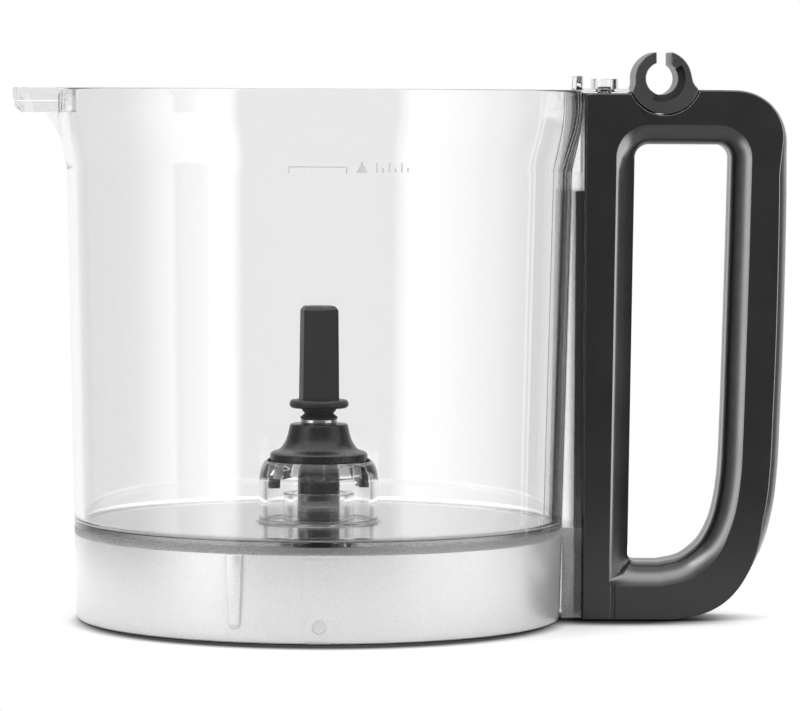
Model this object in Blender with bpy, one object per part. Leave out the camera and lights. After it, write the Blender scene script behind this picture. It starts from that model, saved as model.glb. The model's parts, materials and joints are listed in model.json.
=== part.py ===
"""Work bowl assembly of a food processor: clear bowl, D-shaped handle with lid hinge clip,
lid interlock rod, and the twist-out drive unit with its hexagonal spindle.

Sizes are millimetres measured from the bowl's own axis, which is vertical, with z = 0 on the
surface the bowl stands on and the handle towards +X. The finished objects are in metres, with
the world origin at the middle of the whole assembly's footprint.
"""

import math

import bmesh
import bpy
from mathutils import Vector

MM = 0.001
GAP = 0.3                      # clearance between pieces that touch
UP = Vector((0, 0, 1))

# overall reach from the bowl axis
HANDLE_REACH = 167.8
LATCH_REACH = 109.1
AXIS_X = (LATCH_REACH - HANDLE_REACH) / 2

# bowl wall and floor
RIM_Z = 190.0
RIM_R = 94.3
RIM_BAND = 5.0                 # straight band under the rim
FLARE_Z = 160.4                # where the wall starts to flare
WALL_R_LOW = 87.1
WALL_R_FLARE = 90.6
FOOT_R = 86.2
WALL = 3.7
SKIRT_WALL = 2.8
FLOOR_TOP = 34.7
FLOOR = 3.6
SKIRT_TOP = FLOOR_TOP - FLOOR - GAP
BOWL_STEPS = 64

# hub on the floor
HUB_R = 21.5
HUB_BORE_R = 18.8
HUB_TOP = 56.4
SLEEVE_R = 12.8
SLEEVE_BORE_R = 9.65
SLEEVE_TOP = 45.0
LUG_COUNT = 4
LUG_R = 13.9
LUG_Z = (50.5, 55.2)
LUG_ANGLE = 44.0
LUG_START = 186.0              # azimuth of the first lug's leading end

# drive unit
BELL_STEPS = 32
STEM_R = 7.6
STEM_BORE_R = 6.1
STEM_FOOT_Z = 30.5
BELL_BOTTOM = 55.5
BELL_TOP = 70.4
FLANGE_R = 17.6
HOOK_R = (14.6, 18.3)
HOOK_LEG_ANGLE = 9.0
HOOK_Z = (46.8, 50.2)
SHAFT_R = 4.0
SHAFT_Z = (18.5, 100.0)
BUSH_BORE_R = 4.1
BUSH_R = 5.8
HEX_Z = (78.3, 112.1)
HEX_R = (7.7, 7.3)             # corner radius at its foot and at its top
HEX_TURN = 18.5
HEX_CHAMFER = 1.4
HEX_FLANGE_R = 10.6
COUPLING_R = 9.2
COUPLING_Z = (5.0, 27.8)
SOCKET_DEPTH = 11.0
SOCKET_R = 6.3
PIN_Z = 22.6
PIN_R = 1.25

# spine of the bowl beside the handle
SPINE_X = 94.0
WEB_Y = (12.2, 14.2)
WEB_FOOT = 1.2
PLATE_Z = (189.2, 190.4)
PLATE_END = 110.1
ROD_X = 102.0
COLLAR_R = (3.45, 4.85)
COLLAR_TOP = 194.0
FIN_R = (91.9, 94.3)
FIN_ANGLE = 9.0
FIN_TOP = 195.0

# handle
HALF_T = 14.0
SHELL = 2.2
SPLIT = GAP / 2
COLUMN_X = 94.3
COLUMN_TOP = 188.9
FOOT_Z = 1.2
TOP_Z = 190.2
FILLET = 7.0
CROWN = 3.5
TONGUE_X = 91.3
TONGUE_Z = (3.0, 154.0)
POCKET = (122.8, 194.2)
POCKET_R = 12.9
SCREWS = ((142.5, 180.3), (156.5, 96.0), (147.0, 19.0), (120.5, 11.6))
SCREW_R = 1.2
SCREW_HEAD_R = 2.7
SCREW_HEAD_Y = 11.0            # underside of the heads

# hinge clip
CLIP_HOLE = (121.8, 194.2)
CLIP_HOLE_R = 5.85
CLIP_RING = (122.2, 193.9)
CLIP_RING_R = 10.1
CLIP_SLOT = (119.7, 125.1)
CLIP_FLAT_X = 112.2
CLIP_HALF_T = 14.6
CLIP_STOP_R = 8.3
CLIP_STOP_ANGLES = (-116.0, 36.0)
CLIP_STOP_DEPTH = 4.0

# interlock
ROD_R = 2.5
ROD_Z = (7.0, 191.2)
ROD_COLLAR_R = 4.3
ROD_COLLAR_Z = (52.0, 54.5)
GUIDE_Z = (9.5, 13.5)
GUIDE_END = 110.2
SPRING_Z = (13.8, 51.7)
SPRING_R = 3.7
SPRING_WIRE = 0.45
SPRING_TURNS = 10
PORT_R = 4.0


def clear_scene():
    for ob in list(bpy.data.objects):
        bpy.data.objects.remove(ob, do_unlink=True)


def finish(name, colour, roughness, metallic=0.0, transmission=0.0):
    """A material with one Principled shader."""
    mat = bpy.data.materials.new(name)
    mat.use_nodes = True
    shader = mat.node_tree.nodes["Principled BSDF"]
    shader.inputs["Base Color"].default_value = (*colour, 1)
    shader.inputs["Roughness"].default_value = roughness
    shader.inputs["Metallic"].default_value = metallic
    shader.inputs["Transmission Weight"].default_value = transmission
    return mat


def empty_at(name, x):
    """An empty on a vertical axis, x millimetres from the bowl axis."""
    ob = bpy.data.objects.new(name, None)
    ob.location = ((AXIS_X + x) * MM, 0, 0)
    bpy.context.scene.collection.objects.link(ob)
    return ob


def to_object(bm, name, parent=None, mat=None):
    """Write a bmesh, in millimetres, as an object in metres under its parent."""
    bmesh.ops.remove_doubles(bm, verts=bm.verts, dist=0.001)
    bmesh.ops.recalc_face_normals(bm, faces=bm.faces)
    bmesh.ops.scale(bm, vec=(MM, MM, MM), verts=bm.verts)
    mesh = bpy.data.meshes.new(name)
    bm.to_mesh(mesh)
    bm.free()
    mesh.shade_smooth()
    mesh.set_sharp_from_angle(angle=math.radians(35))
    ob = bpy.data.objects.new(name, mesh)
    bpy.context.scene.collection.objects.link(ob)
    ob.parent = parent
    if mat:
        mesh.materials.append(mat)
    return ob


def turned(bm, profile, steps):
    """Spin a closed (radius, z) profile round the z axis."""
    verts = [bm.verts.new((r, 0, z)) for r, z in profile]
    edges = [bm.edges.new((a, b)) for a, b in zip(verts, verts[1:] + verts[:1])
             if not (abs(a.co.x) < 1e-6 and abs(b.co.x) < 1e-6)]
    bmesh.ops.spin(bm, geom=verts + edges, cent=(0, 0, 0), axis=(0, 0, 1),
                   angle=math.tau, steps=steps, use_merge=True)


def prism(bm, outline, low, high, axis="Y"):
    """Extrude a closed outline along an axis. It lies in XZ for Y, and in XY for Z."""
    if axis == "Y":
        verts = [bm.verts.new((a, low, b)) for a, b in outline]
        step = Vector((0, high - low, 0))
    else:
        verts = [bm.verts.new((a, b, low)) for a, b in outline]
        step = Vector((0, 0, high - low))
    face = bm.faces.new(verts)
    made = bmesh.ops.extrude_face_region(bm, geom=[face])["geom"]
    bmesh.ops.translate(bm, vec=step, verts=[v for v in made if isinstance(v, bmesh.types.BMVert)])


def arc(centre, radius, start, stop, steps):
    """Points on an arc, both ends included. Angles are in degrees."""
    span = [math.radians(start + (stop - start) * i / steps) for i in range(steps + 1)]
    return [(centre[0] + radius * math.cos(a), centre[1] + radius * math.sin(a)) for a in span]


def ring_sector(r_in, r_out, start, stop, steps):
    """The outline of a piece of a ring, seen along z."""
    return (arc((0, 0), r_out, start, stop, steps)
            + arc((0, 0), r_in, stop, start, steps))


def box_outline(x0, x1, z0, z1):
    return [(x0, z0), (x1, z0), (x1, z1), (x0, z1)]


def cylinder(bm, x, y, z0, z1, radius, steps):
    prism(bm, [(x + a, y + b) for a, b in arc((0, 0), radius, 0, 360, steps)[:-1]], z0, z1, "Z")


def combine(ob, bm, operation, name):
    """Join or cut ob by the shape in bm, then drop the helper."""
    tool = to_object(bm, name, ob.parent)
    tool.hide_render = True
    tool.display_type = "WIRE"
    mod = ob.modifiers.new(name, "BOOLEAN")
    mod.operation = operation
    mod.solver = "EXACT"
    mod.object = tool
    bpy.context.view_layer.update()
    view = bpy.context.evaluated_depsgraph_get()
    mesh = bpy.data.meshes.new_from_object(ob.evaluated_get(view), depsgraph=view)
    ob.modifiers.clear()
    ob.data = mesh
    bpy.data.objects.remove(tool, do_unlink=True)


def wall_radius(z):
    """Outer radius of the bowl: a slight taper, then an S-shaped flare up to the rim band."""
    top = RIM_Z - RIM_BAND
    if z <= FLARE_Z:
        return WALL_R_LOW + (WALL_R_FLARE - WALL_R_LOW) * (z / FLARE_Z)
    t = min((z - FLARE_Z) / (top - FLARE_Z), 1)
    return WALL_R_FLARE + (RIM_R - WALL_R_FLARE) * math.sin(t * math.pi / 2) ** 1.2


def bowl_profile():
    """Wall and floor as one closed outline, from the floor's edge up the outside."""
    flare = [FLARE_Z + (RIM_Z - RIM_BAND - FLARE_Z) * i / 4 for i in range(5)]
    under = FLOOR_TOP - FLOOR
    outer = [(wall_radius(z), z) for z in [under, 95, *flare]]
    outer += [(RIM_R, RIM_Z)]
    inner = [(wall_radius(z) - WALL, z) for z in [*reversed(flare), 95, FLOOR_TOP + 3.5]]
    inner = [(RIM_R - WALL + 0.6, RIM_Z), (RIM_R - WALL + 0.6, RIM_Z - 2.8)] + inner
    corner = wall_radius(FLOOR_TOP) - WALL
    inner += [(corner - 0.9, FLOOR_TOP + 0.9), (corner - 3.2, FLOOR_TOP)]
    return outer + inner + [(SLEEVE_BORE_R, FLOOR_TOP), (SLEEVE_BORE_R, under)]


def add_spine(ob):
    """Two flat webs that the handle's column sits between."""
    for side in (-1, 1):
        bm = bmesh.new()
        low, high = sorted((side * WEB_Y[0], side * WEB_Y[1]))
        foot_x = wall_radius(SKIRT_TOP) - 0.4
        inner_x = FOOT_R - SKIRT_WALL + 1.2
        slope = RIM_R - WALL + 1.4
        outline = [(foot_x, WEB_FOOT), (SPINE_X, WEB_FOOT), (SPINE_X, PLATE_Z[0] + 0.5),
                   (slope, PLATE_Z[0] + 0.5), (WALL_R_FLARE - WALL + 1.2, FLARE_Z),
                   (inner_x, SKIRT_TOP + 1.0), (foot_x, SKIRT_TOP + GAP + 0.2)]
        prism(bm, outline, low, high)
        combine(ob, bm, "UNION", "web")


def pin_plate(parent, mat):
    """The plate that caps the handle's column, with the collar of the lid's pin."""
    bm = bmesh.new()
    prism(bm, box_outline(RIM_R + GAP, PLATE_END, *PLATE_Z), -WEB_Y[1], WEB_Y[1])
    ob = to_object(bm, "pin_plate", parent, mat)
    bm = bmesh.new()
    cylinder(bm, ROD_X, 0, PLATE_Z[0] + 0.4, COLLAR_TOP, COLLAR_R[1], 28)
    combine(ob, bm, "UNION", "collar")
    bm = bmesh.new()
    cylinder(bm, ROD_X, 0, PLATE_Z[0] - 2, COLLAR_TOP + 2, COLLAR_R[0], 28)
    combine(ob, bm, "DIFFERENCE", "collar_bore")


def add_fin(ob):
    """A low guard that stands on the rim beside the handle."""
    bm = bmesh.new()
    prism(bm, ring_sector(*FIN_R, -FIN_ANGLE, FIN_ANGLE, 6), RIM_Z - 1.5, FIN_TOP, "Z")
    for v in bm.verts:
        if v.co.z > RIM_Z:
            v.co.y *= 0.88
            v.co.x += 0.5 if v.co.x < (FIN_R[0] + FIN_R[1]) / 2 - 0.6 else 0
    combine(ob, bm, "UNION", "fin")


def latch_tab(parent, mat):
    """The lid's latch tab opposite the handle: two tiers, hollow below, with a gusset."""
    half_w = 15.0
    root = RIM_R - 2.0
    ob = to_object(bmesh.new(), "latch_tab", parent, mat)
    tiers = [(-LATCH_REACH, 185.2, RIM_Z, half_w), (-LATCH_REACH + 0.4, 181.0, 185.7, half_w - 0.6)]
    for x, low, high, half in tiers:
        bm = bmesh.new()
        cut = 2.2 if low < 185 else 0.8
        prism(bm, [(-root, low), (-root, high), (x, high), (x, low + cut), (x + cut, low)],
              -half, half)
        combine(ob, bm, "UNION", "tier")
    bm = bmesh.new()
    prism(bm, box_outline(-LATCH_REACH + 2.4, -RIM_R - 0.2, 170, RIM_Z - 2.2),
          -half_w + 2.6, half_w - 2.6)
    combine(ob, bm, "DIFFERENCE", "tab_pocket")
    bm = bmesh.new()
    prism(bm, [(-root, 172.8), (-root, 188.6), (-LATCH_REACH + 5.0, 188.6),
               (-LATCH_REACH + 7.0, 181.4), (-RIM_R - 3.6, 180.6), (-wall_radius(173), 172.8)],
          -1.0, 1.0)
    combine(ob, bm, "UNION", "gusset")
    bm = bmesh.new()
    rim = [(wall_radius(z) + GAP, z) for z in (165, 172, 176, 180, RIM_Z - RIM_BAND, RIM_Z + 2)]
    turned(bm, [(0, 165), *rim, (0, RIM_Z + 2)], BOWL_STEPS)
    combine(ob, bm, "DIFFERENCE", "rim_clearance")


def base_skirt(parent, mat):
    """The frosted skirt below the floor, with a key rib in front and a notch in its edge."""
    bm = bmesh.new()
    inside = wall_radius(SKIRT_TOP) - SKIRT_WALL
    turned(bm, [(FOOT_R, 0), (WALL_R_LOW, 3), (wall_radius(SKIRT_TOP), SKIRT_TOP),
                (inside, SKIRT_TOP), (FOOT_R - SKIRT_WALL, 0)], BOWL_STEPS)
    ob = to_object(bm, "base_skirt", parent, mat)
    centre = math.radians(-109.4)
    along = Vector((math.cos(centre), math.sin(centre), 0))
    across = Vector((-along.y, along.x, 0))
    bm = bmesh.new()
    rows = []
    for z, half, proud in ((5.2, 1.2, -0.6), (6.6, 1.9, 1.0), (19.0, 2.4, 1.2),
                           (SKIRT_TOP, 2.85, 1.4)):
        base = along * (wall_radius(z) - 1.0)
        crest = along * (wall_radius(z) + proud)
        rows.append([base - across * half, crest - across * half * 0.45,
                     crest + across * half * 0.45, base + across * half])
        rows[-1] = [bm.verts.new(p + Vector((0, 0, z))) for p in rows[-1]]
    for low, high in zip(rows, rows[1:]):
        for i in range(4):
            bm.faces.new((low[i], low[(i + 1) % 4], high[(i + 1) % 4], high[i]))
    bm.faces.new(rows[0])
    bm.faces.new(rows[-1])
    combine(ob, bm, "UNION", "key_rib")
    bm = bmesh.new()
    prism(bm, box_outline(-4.6, 4.6, -1, 0.8), -FOOT_R - 3, -FOOT_R + SKIRT_WALL + 3)
    combine(ob, bm, "DIFFERENCE", "notch")
    return ob


def hub(parent, mat):
    """The sleeve the drive unit's stem drops into, and the collar with the lugs round it."""
    low = FLOOR_TOP + GAP
    bm = bmesh.new()
    turned(bm, [(SLEEVE_R, low), (SLEEVE_R, SLEEVE_TOP - 0.5), (SLEEVE_R - 0.5, SLEEVE_TOP),
                (SLEEVE_BORE_R + 0.5, SLEEVE_TOP), (SLEEVE_BORE_R, SLEEVE_TOP - 0.5),
                (SLEEVE_BORE_R, low)], BOWL_STEPS)
    to_object(bm, "hub_sleeve", parent, mat)
    bm = bmesh.new()
    turned(bm, [(HUB_R, low), (HUB_R, 49.5), (HUB_R - 0.4, 52.8), (HUB_R - 1.4, 55.3),
                (HUB_R - 2.3, HUB_TOP), (HUB_BORE_R, HUB_TOP), (HUB_BORE_R, low)], BOWL_STEPS)
    ob = to_object(bm, "hub_collar", parent, mat)
    for k in range(LUG_COUNT):
        start = LUG_START + k * 360 / LUG_COUNT
        bm = bmesh.new()
        prism(bm, ring_sector(LUG_R, HUB_BORE_R + 1.0, start, start + LUG_ANGLE, 8), *LUG_Z, "Z")
        combine(ob, bm, "UNION", "lug")


def work_bowl(parent):
    bm = bmesh.new()
    turned(bm, bowl_profile(), BOWL_STEPS)
    clear = finish("clear_plastic", (0.95, 0.96, 0.96), 0.04, transmission=1.0)
    ob = to_object(bm, "work_bowl", parent, clear)
    add_spine(ob)
    add_fin(ob)
    pin_plate(parent, clear)
    hub(parent, clear)
    base_skirt(parent, clear)
    latch_tab(parent, clear)
    return ob


def smooth_run(points, steps):
    """Points on a Catmull-Rom curve through the given ones, with its last point left out."""
    knots = [Vector(p) for p in points]
    pts = [2 * knots[0] - knots[1], *knots, 2 * knots[-1] - knots[-2]]
    lengths = [(b - a).length for a, b in zip(knots, knots[1:])]
    total = sum(lengths)
    run = []
    for i in range(steps):
        want = total * i / steps
        k = 0
        while want > lengths[k] and k < len(lengths) - 1:
            want -= lengths[k]
            k += 1
        t = want / lengths[k]
        a, b, c, d = pts[k:k + 4]
        run.append(tuple(0.5 * (2 * b + (c - a) * t + (2 * a - 5 * b + 4 * c - d) * t * t
                                + (3 * b - a - 3 * c + d) * t ** 3)))
    return run


def handle_outlines():
    """Matching closed outlines of the handle, outside and finger hole, going clockwise."""
    px, pz = POCKET
    left = math.degrees(math.asin((COLUMN_TOP - pz) / POCKET_R))
    right = math.degrees(math.asin((TOP_Z - pz) / POCKET_R))
    pocket_in = px - POCKET_R * math.cos(math.radians(left))
    pocket_out = px + POCKET_R * math.cos(math.radians(right))
    pocket_run = arc(POCKET, POCKET_R, -180 - left, right, 14)[:-1]
    corner = (148.7, 171.2)
    corner_r = 19.0
    outer = smooth_run([(COLUMN_X, FOOT_Z), (COLUMN_X, COLUMN_TOP)], 8)
    outer += smooth_run([(COLUMN_X, COLUMN_TOP), (pocket_in, COLUMN_TOP)], 3)
    outer += pocket_run
    outer += smooth_run([(pocket_out, TOP_Z), (corner[0], TOP_Z)], 3)
    outer += arc(corner, corner_r, 90, 0, 8)[:-1]
    outer += smooth_run([(167.7, 171.2), (HANDLE_REACH, 145), (167.2, 105), (166.3, 75.5)], 8)
    outer += smooth_run([(166.3, 75.5), (165.2, 54), (163.1, 39.5), (158.4, 25), (149, 10.6)], 9)
    outer += smooth_run([(149, 10.6), (139.3, 4.2), (126, FOOT_Z)], 4)
    outer += smooth_run([(126, FOOT_Z), (COLUMN_X, FOOT_Z)], 5)
    tl, tr = (117.6, 165.7), (142.1, 165.7)
    hole = smooth_run([(111.1, 25.0), (112.6, 165.7)], 8)
    hole += arc(tl, 5.0, 180, 90, 3)[:-1]
    hole += smooth_run([(tl[0], 170.7), (134.0, 170.7)], 14)
    hole += smooth_run([(134.0, 170.7), (tr[0], 170.7)], 3)
    hole += arc(tr, 5.0, 90, 0, 8)[:-1]
    hole += smooth_run([(147.1, 165.7), (146.4, 130), (145.7, 100), (145.1, 75)], 8)
    hole += smooth_run([(145.1, 75), (143.9, 50), (140.3, 36.5), (134.3, 28)], 9)
    hole += smooth_run([(134.3, 28), (126.7, 24), (120, 22.1)], 4)
    hole += smooth_run([(120, 22.1), (114.1, 22.0)], 3) + arc((114.1, 25.0), 3.0, 270, 180, 2)[:-1]
    return outer, hole


def offset(loop, distances):
    """Move each point of a clockwise loop outwards by its distance, with mitred corners."""
    moved = []
    for i, here in enumerate(loop):
        before, after = Vector(loop[i - 1]), Vector(loop[(i + 1) % len(loop)])
        a = (Vector(here) - before).normalized()
        b = (after - Vector(here)).normalized()
        normal = Vector((-(a.y + b.y), a.x + b.x)).normalized()
        share = max(normal.dot(Vector((-a.y, a.x))), 0.5)
        moved.append(tuple(Vector(here) + normal * distances[i] / share))
    return moved


def crown_at(x, z):
    """How far the near edge of the grip is set in from its widest line."""
    along = min(max((x - 143.0) / 18.0, 0), 1)
    high = min(max((186.0 - z) / 30.0, 0), 1)
    low = min(max((z - 2.0) / 34.0, 0), 1)
    return CROWN * along * min(high + 0.15, 1) * low


def shell_sections(side):
    """Loops of one hollow half, in order across its thickness; side is -1 for the front."""
    outer, hole = handle_outlines()
    count = len(outer)
    crown = [crown_at(x, z) for x, z in outer]
    face = HALF_T
    inner_face = HALF_T - SHELL
    loops = []

    def add(loop, depth):
        loops.append([(x, side * depth, z) for x, z in loop])

    add(hole, SPLIT)
    for angle in (0, 30, 60, 90):
        a = math.radians(angle)
        out = FILLET * (1 - math.cos(a))
        add(offset(hole, [out] * count), face - FILLET + FILLET * math.sin(a))
    for depth in (face, face * 0.72, face * 0.38):
        add(offset(outer, [-c * (depth / face) ** 2 for c in crown]), depth)
    add(outer, SPLIT)
    add(offset(outer, [-SHELL] * count), SPLIT)
    add(offset(outer, [-SHELL - c * 0.5 for c in crown]), face * 0.6)
    add(offset(outer, [-SHELL - c * 0.85 for c in crown]), inner_face)
    add(offset(hole, [FILLET * 0.9] * count), inner_face)
    add(offset(hole, [SHELL + 1.4] * count), face - FILLET + 2.2)
    add(offset(hole, [SHELL] * count), face - FILLET - 1.0)
    add(offset(hole, [SHELL] * count), SPLIT)
    return loops


def handle_shell(name, side, parent, mat):
    """One half of the handle, split on its middle plane."""
    bm = bmesh.new()
    rings = [[bm.verts.new(p) for p in loop] for loop in shell_sections(side)]
    for a, b in zip(rings, rings[1:] + rings[:1]):
        for i in range(len(a)):
            j = (i + 1) % len(a)
            bm.faces.new((a[i], a[j], b[j], b[i]))
    ob = to_object(bm, name, parent, mat)
    add_tongue(ob, side)
    add_screw_posts(ob, side)
    bm = bmesh.new()
    cylinder(bm, ROD_X, 0, FOOT_Z - 2, FOOT_Z + SHELL + 2, PORT_R, 24)
    combine(ob, bm, "DIFFERENCE", "rod_port")
    bm = bmesh.new()
    cylinder(bm, ROD_X, 0, COLUMN_TOP - SHELL - 2, COLUMN_TOP + 2, PORT_R, 24)
    combine(ob, bm, "DIFFERENCE", "rod_way")
    return ob


def add_tongue(ob, side):
    """The part of the column that sits between the bowl's two webs."""
    bm = bmesh.new()
    low, high = sorted((side * SPLIT, side * (WEB_Y[0] - GAP)))
    prism(bm, box_outline(TONGUE_X, COLUMN_X + 1.2, *TONGUE_Z), low, high)
    combine(ob, bm, "UNION", "tongue")


def add_screw_posts(ob, side):
    """Posts inside each half; the rear ones are drilled through and counterbored."""
    for x, z in SCREWS:
        bm = bmesh.new()
        low, high = sorted((side * SPLIT, side * (HALF_T - 1.0)))
        prism(bm, arc((x, z), 3.6, 0, 360, 14)[:-1], low, high)
        combine(ob, bm, "UNION", "post")
        bm = bmesh.new()
        depth = HALF_T - 4.0 if side < 0 else HALF_T + 2
        low, high = sorted((-side * 1.0, side * depth))
        prism(bm, arc((x, z), SCREW_R + GAP, 0, 360, 12)[:-1], low, high)
        combine(ob, bm, "DIFFERENCE", "screw_hole")
        if side > 0:
            bm = bmesh.new()
            prism(bm, arc((x, z), SCREW_HEAD_R + GAP, 0, 360, 16)[:-1],
                  SCREW_HEAD_Y - GAP, HALF_T + 2)
            combine(ob, bm, "DIFFERENCE", "counterbore")


def handle_screws(parent, mat):
    """The screws that draw the two halves together, entered from the rear."""
    low, head = -HALF_T + 4.0 + GAP, SCREW_HEAD_Y
    profile = [(0, low), (SCREW_R - 0.4, low), (SCREW_R, low + 0.6), (SCREW_R, head),
               (SCREW_HEAD_R, head), (SCREW_HEAD_R, head + 1.4), (SCREW_HEAD_R - 0.7, head + 2.0),
               (0.9, head + 2.0), (0.7, head + 1.0), (0, head + 1.0)]
    for number, (x, z) in enumerate(SCREWS, 1):
        bm = bmesh.new()
        turned(bm, profile, 14)
        screw = to_object(bm, f"handle_screw_{number}", parent, mat)
        screw.rotation_euler.x = -math.pi / 2
        screw.location = (x * MM, 0, z * MM)


def hinge_clip(parent, mat):
    """An open C that the lid's hinge pin snaps into, on a round boss let into the handle."""
    boss_r = POCKET_R - GAP
    low = math.degrees(math.asin((COLUMN_TOP + 0.4 - POCKET[1]) / boss_r))
    high = math.degrees(math.asin((TOP_Z - POCKET[1]) / boss_r))
    outline = arc(POCKET, boss_r, -180 - low, high, 18)
    ring_x, ring_z = CLIP_RING
    outline += [(133.6, 191.8), (132.5, 194.0)]
    slot_in, slot_out = CLIP_SLOT
    lip = math.degrees(math.acos((slot_out + 0.7 - ring_x) / CLIP_RING_R))
    outline += arc(CLIP_RING, CLIP_RING_R, 12, lip, 8)
    outline += [(slot_out, ring_z + CLIP_RING_R - 1.0)]
    hole_x, hole_z = CLIP_HOLE
    mouth_out = math.degrees(math.acos((slot_out - hole_x) / CLIP_HOLE_R))
    mouth_in = math.degrees(math.acos((slot_in - hole_x) / CLIP_HOLE_R))
    outline += arc(CLIP_HOLE, CLIP_HOLE_R, mouth_out, mouth_in - 360, 22)
    outline += [(slot_in, ring_z + CLIP_RING_R - 1.0)]
    lip = math.degrees(math.acos((slot_in - 0.7 - ring_x) / CLIP_RING_R))
    flat = math.degrees(math.acos((CLIP_FLAT_X + 0.02 - ring_x) / CLIP_RING_R))
    outline += arc(CLIP_RING, CLIP_RING_R, lip, flat, 6)
    outline += [(CLIP_FLAT_X, 192.0)]
    bm = bmesh.new()
    prism(bm, outline, -CLIP_HALF_T, CLIP_HALF_T)
    ob = to_object(bm, "hinge_clip", parent, mat)
    start, stop = CLIP_STOP_ANGLES
    recess = (arc(CLIP_HOLE, CLIP_STOP_R, start, stop, 14)
              + arc(CLIP_HOLE, CLIP_HOLE_R - 1.5, stop, start, 10))
    bm = bmesh.new()
    prism(bm, recess, -CLIP_HALF_T - 1, -CLIP_HALF_T + CLIP_STOP_DEPTH)
    combine(ob, bm, "DIFFERENCE", "stop_recess")
    return ob


def interlock(bowl, rod_axis, plastic, steel):
    """The rod that the lid presses down, its return spring and the plate that guides it."""
    bm = bmesh.new()
    low, high = ROD_Z
    turned(bm, [(0, low), (ROD_R - 0.6, low), (ROD_R, low + 0.6), (ROD_R, ROD_COLLAR_Z[0]),
                (ROD_COLLAR_R, ROD_COLLAR_Z[0]), (ROD_COLLAR_R, ROD_COLLAR_Z[1]),
                (ROD_R, ROD_COLLAR_Z[1]), (ROD_R, high - 0.8), (ROD_R - 0.8, high), (0, high)], 20)
    to_object(bm, "interlock_rod", rod_axis, plastic)

    bm = bmesh.new()
    inner = HALF_T - SHELL - GAP
    near, far = COLUMN_X + SHELL + GAP - ROD_X, GUIDE_END - ROD_X
    plate = box_outline(near, far, -inner, inner)
    prism(bm, plate, *GUIDE_Z, "Z")
    guide = to_object(bm, "rod_guide_plate", None, plastic)
    bm = bmesh.new()
    cylinder(bm, 0, 0, GUIDE_Z[0] - 1, GUIDE_Z[1] + 1, ROD_R + GAP, 20)
    combine(guide, bm, "DIFFERENCE", "guide_bore")
    guide.parent = bowl
    guide.location.x = ROD_X * MM

    bm = bmesh.new()
    per_turn, around = 10, 5
    total = SPRING_TURNS * per_turn
    wire_low, wire_high = SPRING_Z[0] + SPRING_WIRE, SPRING_Z[1] - SPRING_WIRE
    rings = []
    for i in range(total + 1):
        a = math.tau * i / per_turn
        t = i / total
        ease = t - math.sin(math.tau * t) / (math.tau * 1.25)
        z = wire_low + (wire_high - wire_low) * ease
        out = Vector((math.cos(a), math.sin(a), 0))
        centre = out * SPRING_R + UP * z
        section = [math.tau * k / around for k in range(around)]
        rings.append([bm.verts.new(centre + SPRING_WIRE * (out * math.cos(b) + UP * math.sin(b)))
                      for b in section])
    for a, b in zip(rings, rings[1:]):
        for k in range(around):
            m = (k + 1) % around
            bm.faces.new((a[k], a[m], b[m], b[k]))
    bm.faces.new(rings[0])
    bm.faces.new(rings[-1])
    spring = to_object(bm, "interlock_spring", bowl, steel)
    spring.location.x = ROD_X * MM


def bearing_housing(axis, mat):
    """Bell, flange and stem in one moulding, with hooks that lock under the hub's lugs."""
    bm = bmesh.new()
    bell = [(STEM_BORE_R, BELL_TOP), (9.6, BELL_TOP), (10.5, BELL_TOP - 0.7), (10.9, 67.2),
            (11.6, 64.6), (12.7, 62.3), (14.0, 60.7), (15.6, 60.0), (17.0, 59.4),
            (FLANGE_R, 58.4), (FLANGE_R, 56.6), (FLANGE_R - 0.6, BELL_BOTTOM)]
    hollow = [(14.4, BELL_BOTTOM), (13.4, 57.6), (11.4, 60.6), (9.9, 64.2), (8.8, 65.6),
              (STEM_R, 65.2)]
    foot = [(STEM_R, 34.6), (9.2, 34.6), (9.2, 33.5), (7.85, 33.5), (7.85, 31.7), (9.2, 31.7),
            (9.2, STEM_FOOT_Z), (STEM_BORE_R, STEM_FOOT_Z)]
    turned(bm, bell + hollow + foot, BELL_STEPS)
    ob = to_object(bm, "bearing_housing", axis, mat)
    for k in range(LUG_COUNT):
        start = LUG_START + k * 360 / LUG_COUNT
        leg_end = start - 1.5
        bm = bmesh.new()
        prism(bm, ring_sector(*HOOK_R, leg_end - HOOK_LEG_ANGLE, leg_end, 3),
              HOOK_Z[0] + 0.2, BELL_BOTTOM + 1.6, "Z")
        combine(ob, bm, "UNION", "hook_leg")
        bm = bmesh.new()
        prism(bm, ring_sector(HOOK_R[0], HOOK_R[1], leg_end - HOOK_LEG_ANGLE, leg_end + 18, 7),
              *HOOK_Z, "Z")
        combine(ob, bm, "UNION", "hook")
    return ob


def plain_ring(name, r_in, r_out, low, high, axis, mat, steps=BELL_STEPS):
    bm = bmesh.new()
    turned(bm, [(r_in, low), (r_out, low), (r_out, high), (r_in, high)], steps)
    return to_object(bm, name, axis, mat)


def drive_unit(axis, mats):
    """The pieces that twist out of the hub together, apart from the spindle."""
    bearing_housing(axis, mats["black"])
    plain_ring("upper_bush", BUSH_BORE_R, BUSH_R, 61.0, 70.0, axis, mats["bronze"])
    plain_ring("lower_bush", BUSH_BORE_R, BUSH_R, 31.0, 39.0, axis, mats["bronze"])
    bm = bmesh.new()
    turned(bm, arc((8.75, 32.6), 0.6, 0, 360, 8)[:-1], BELL_STEPS)
    to_object(bm, "housing_o_ring", axis, mats["rubber"])


def hex_corners(radius, z):
    return [(radius * math.cos(math.radians(HEX_TURN + 60 * k)),
             radius * math.sin(math.radians(HEX_TURN + 60 * k)), z) for k in range(6)]


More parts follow.
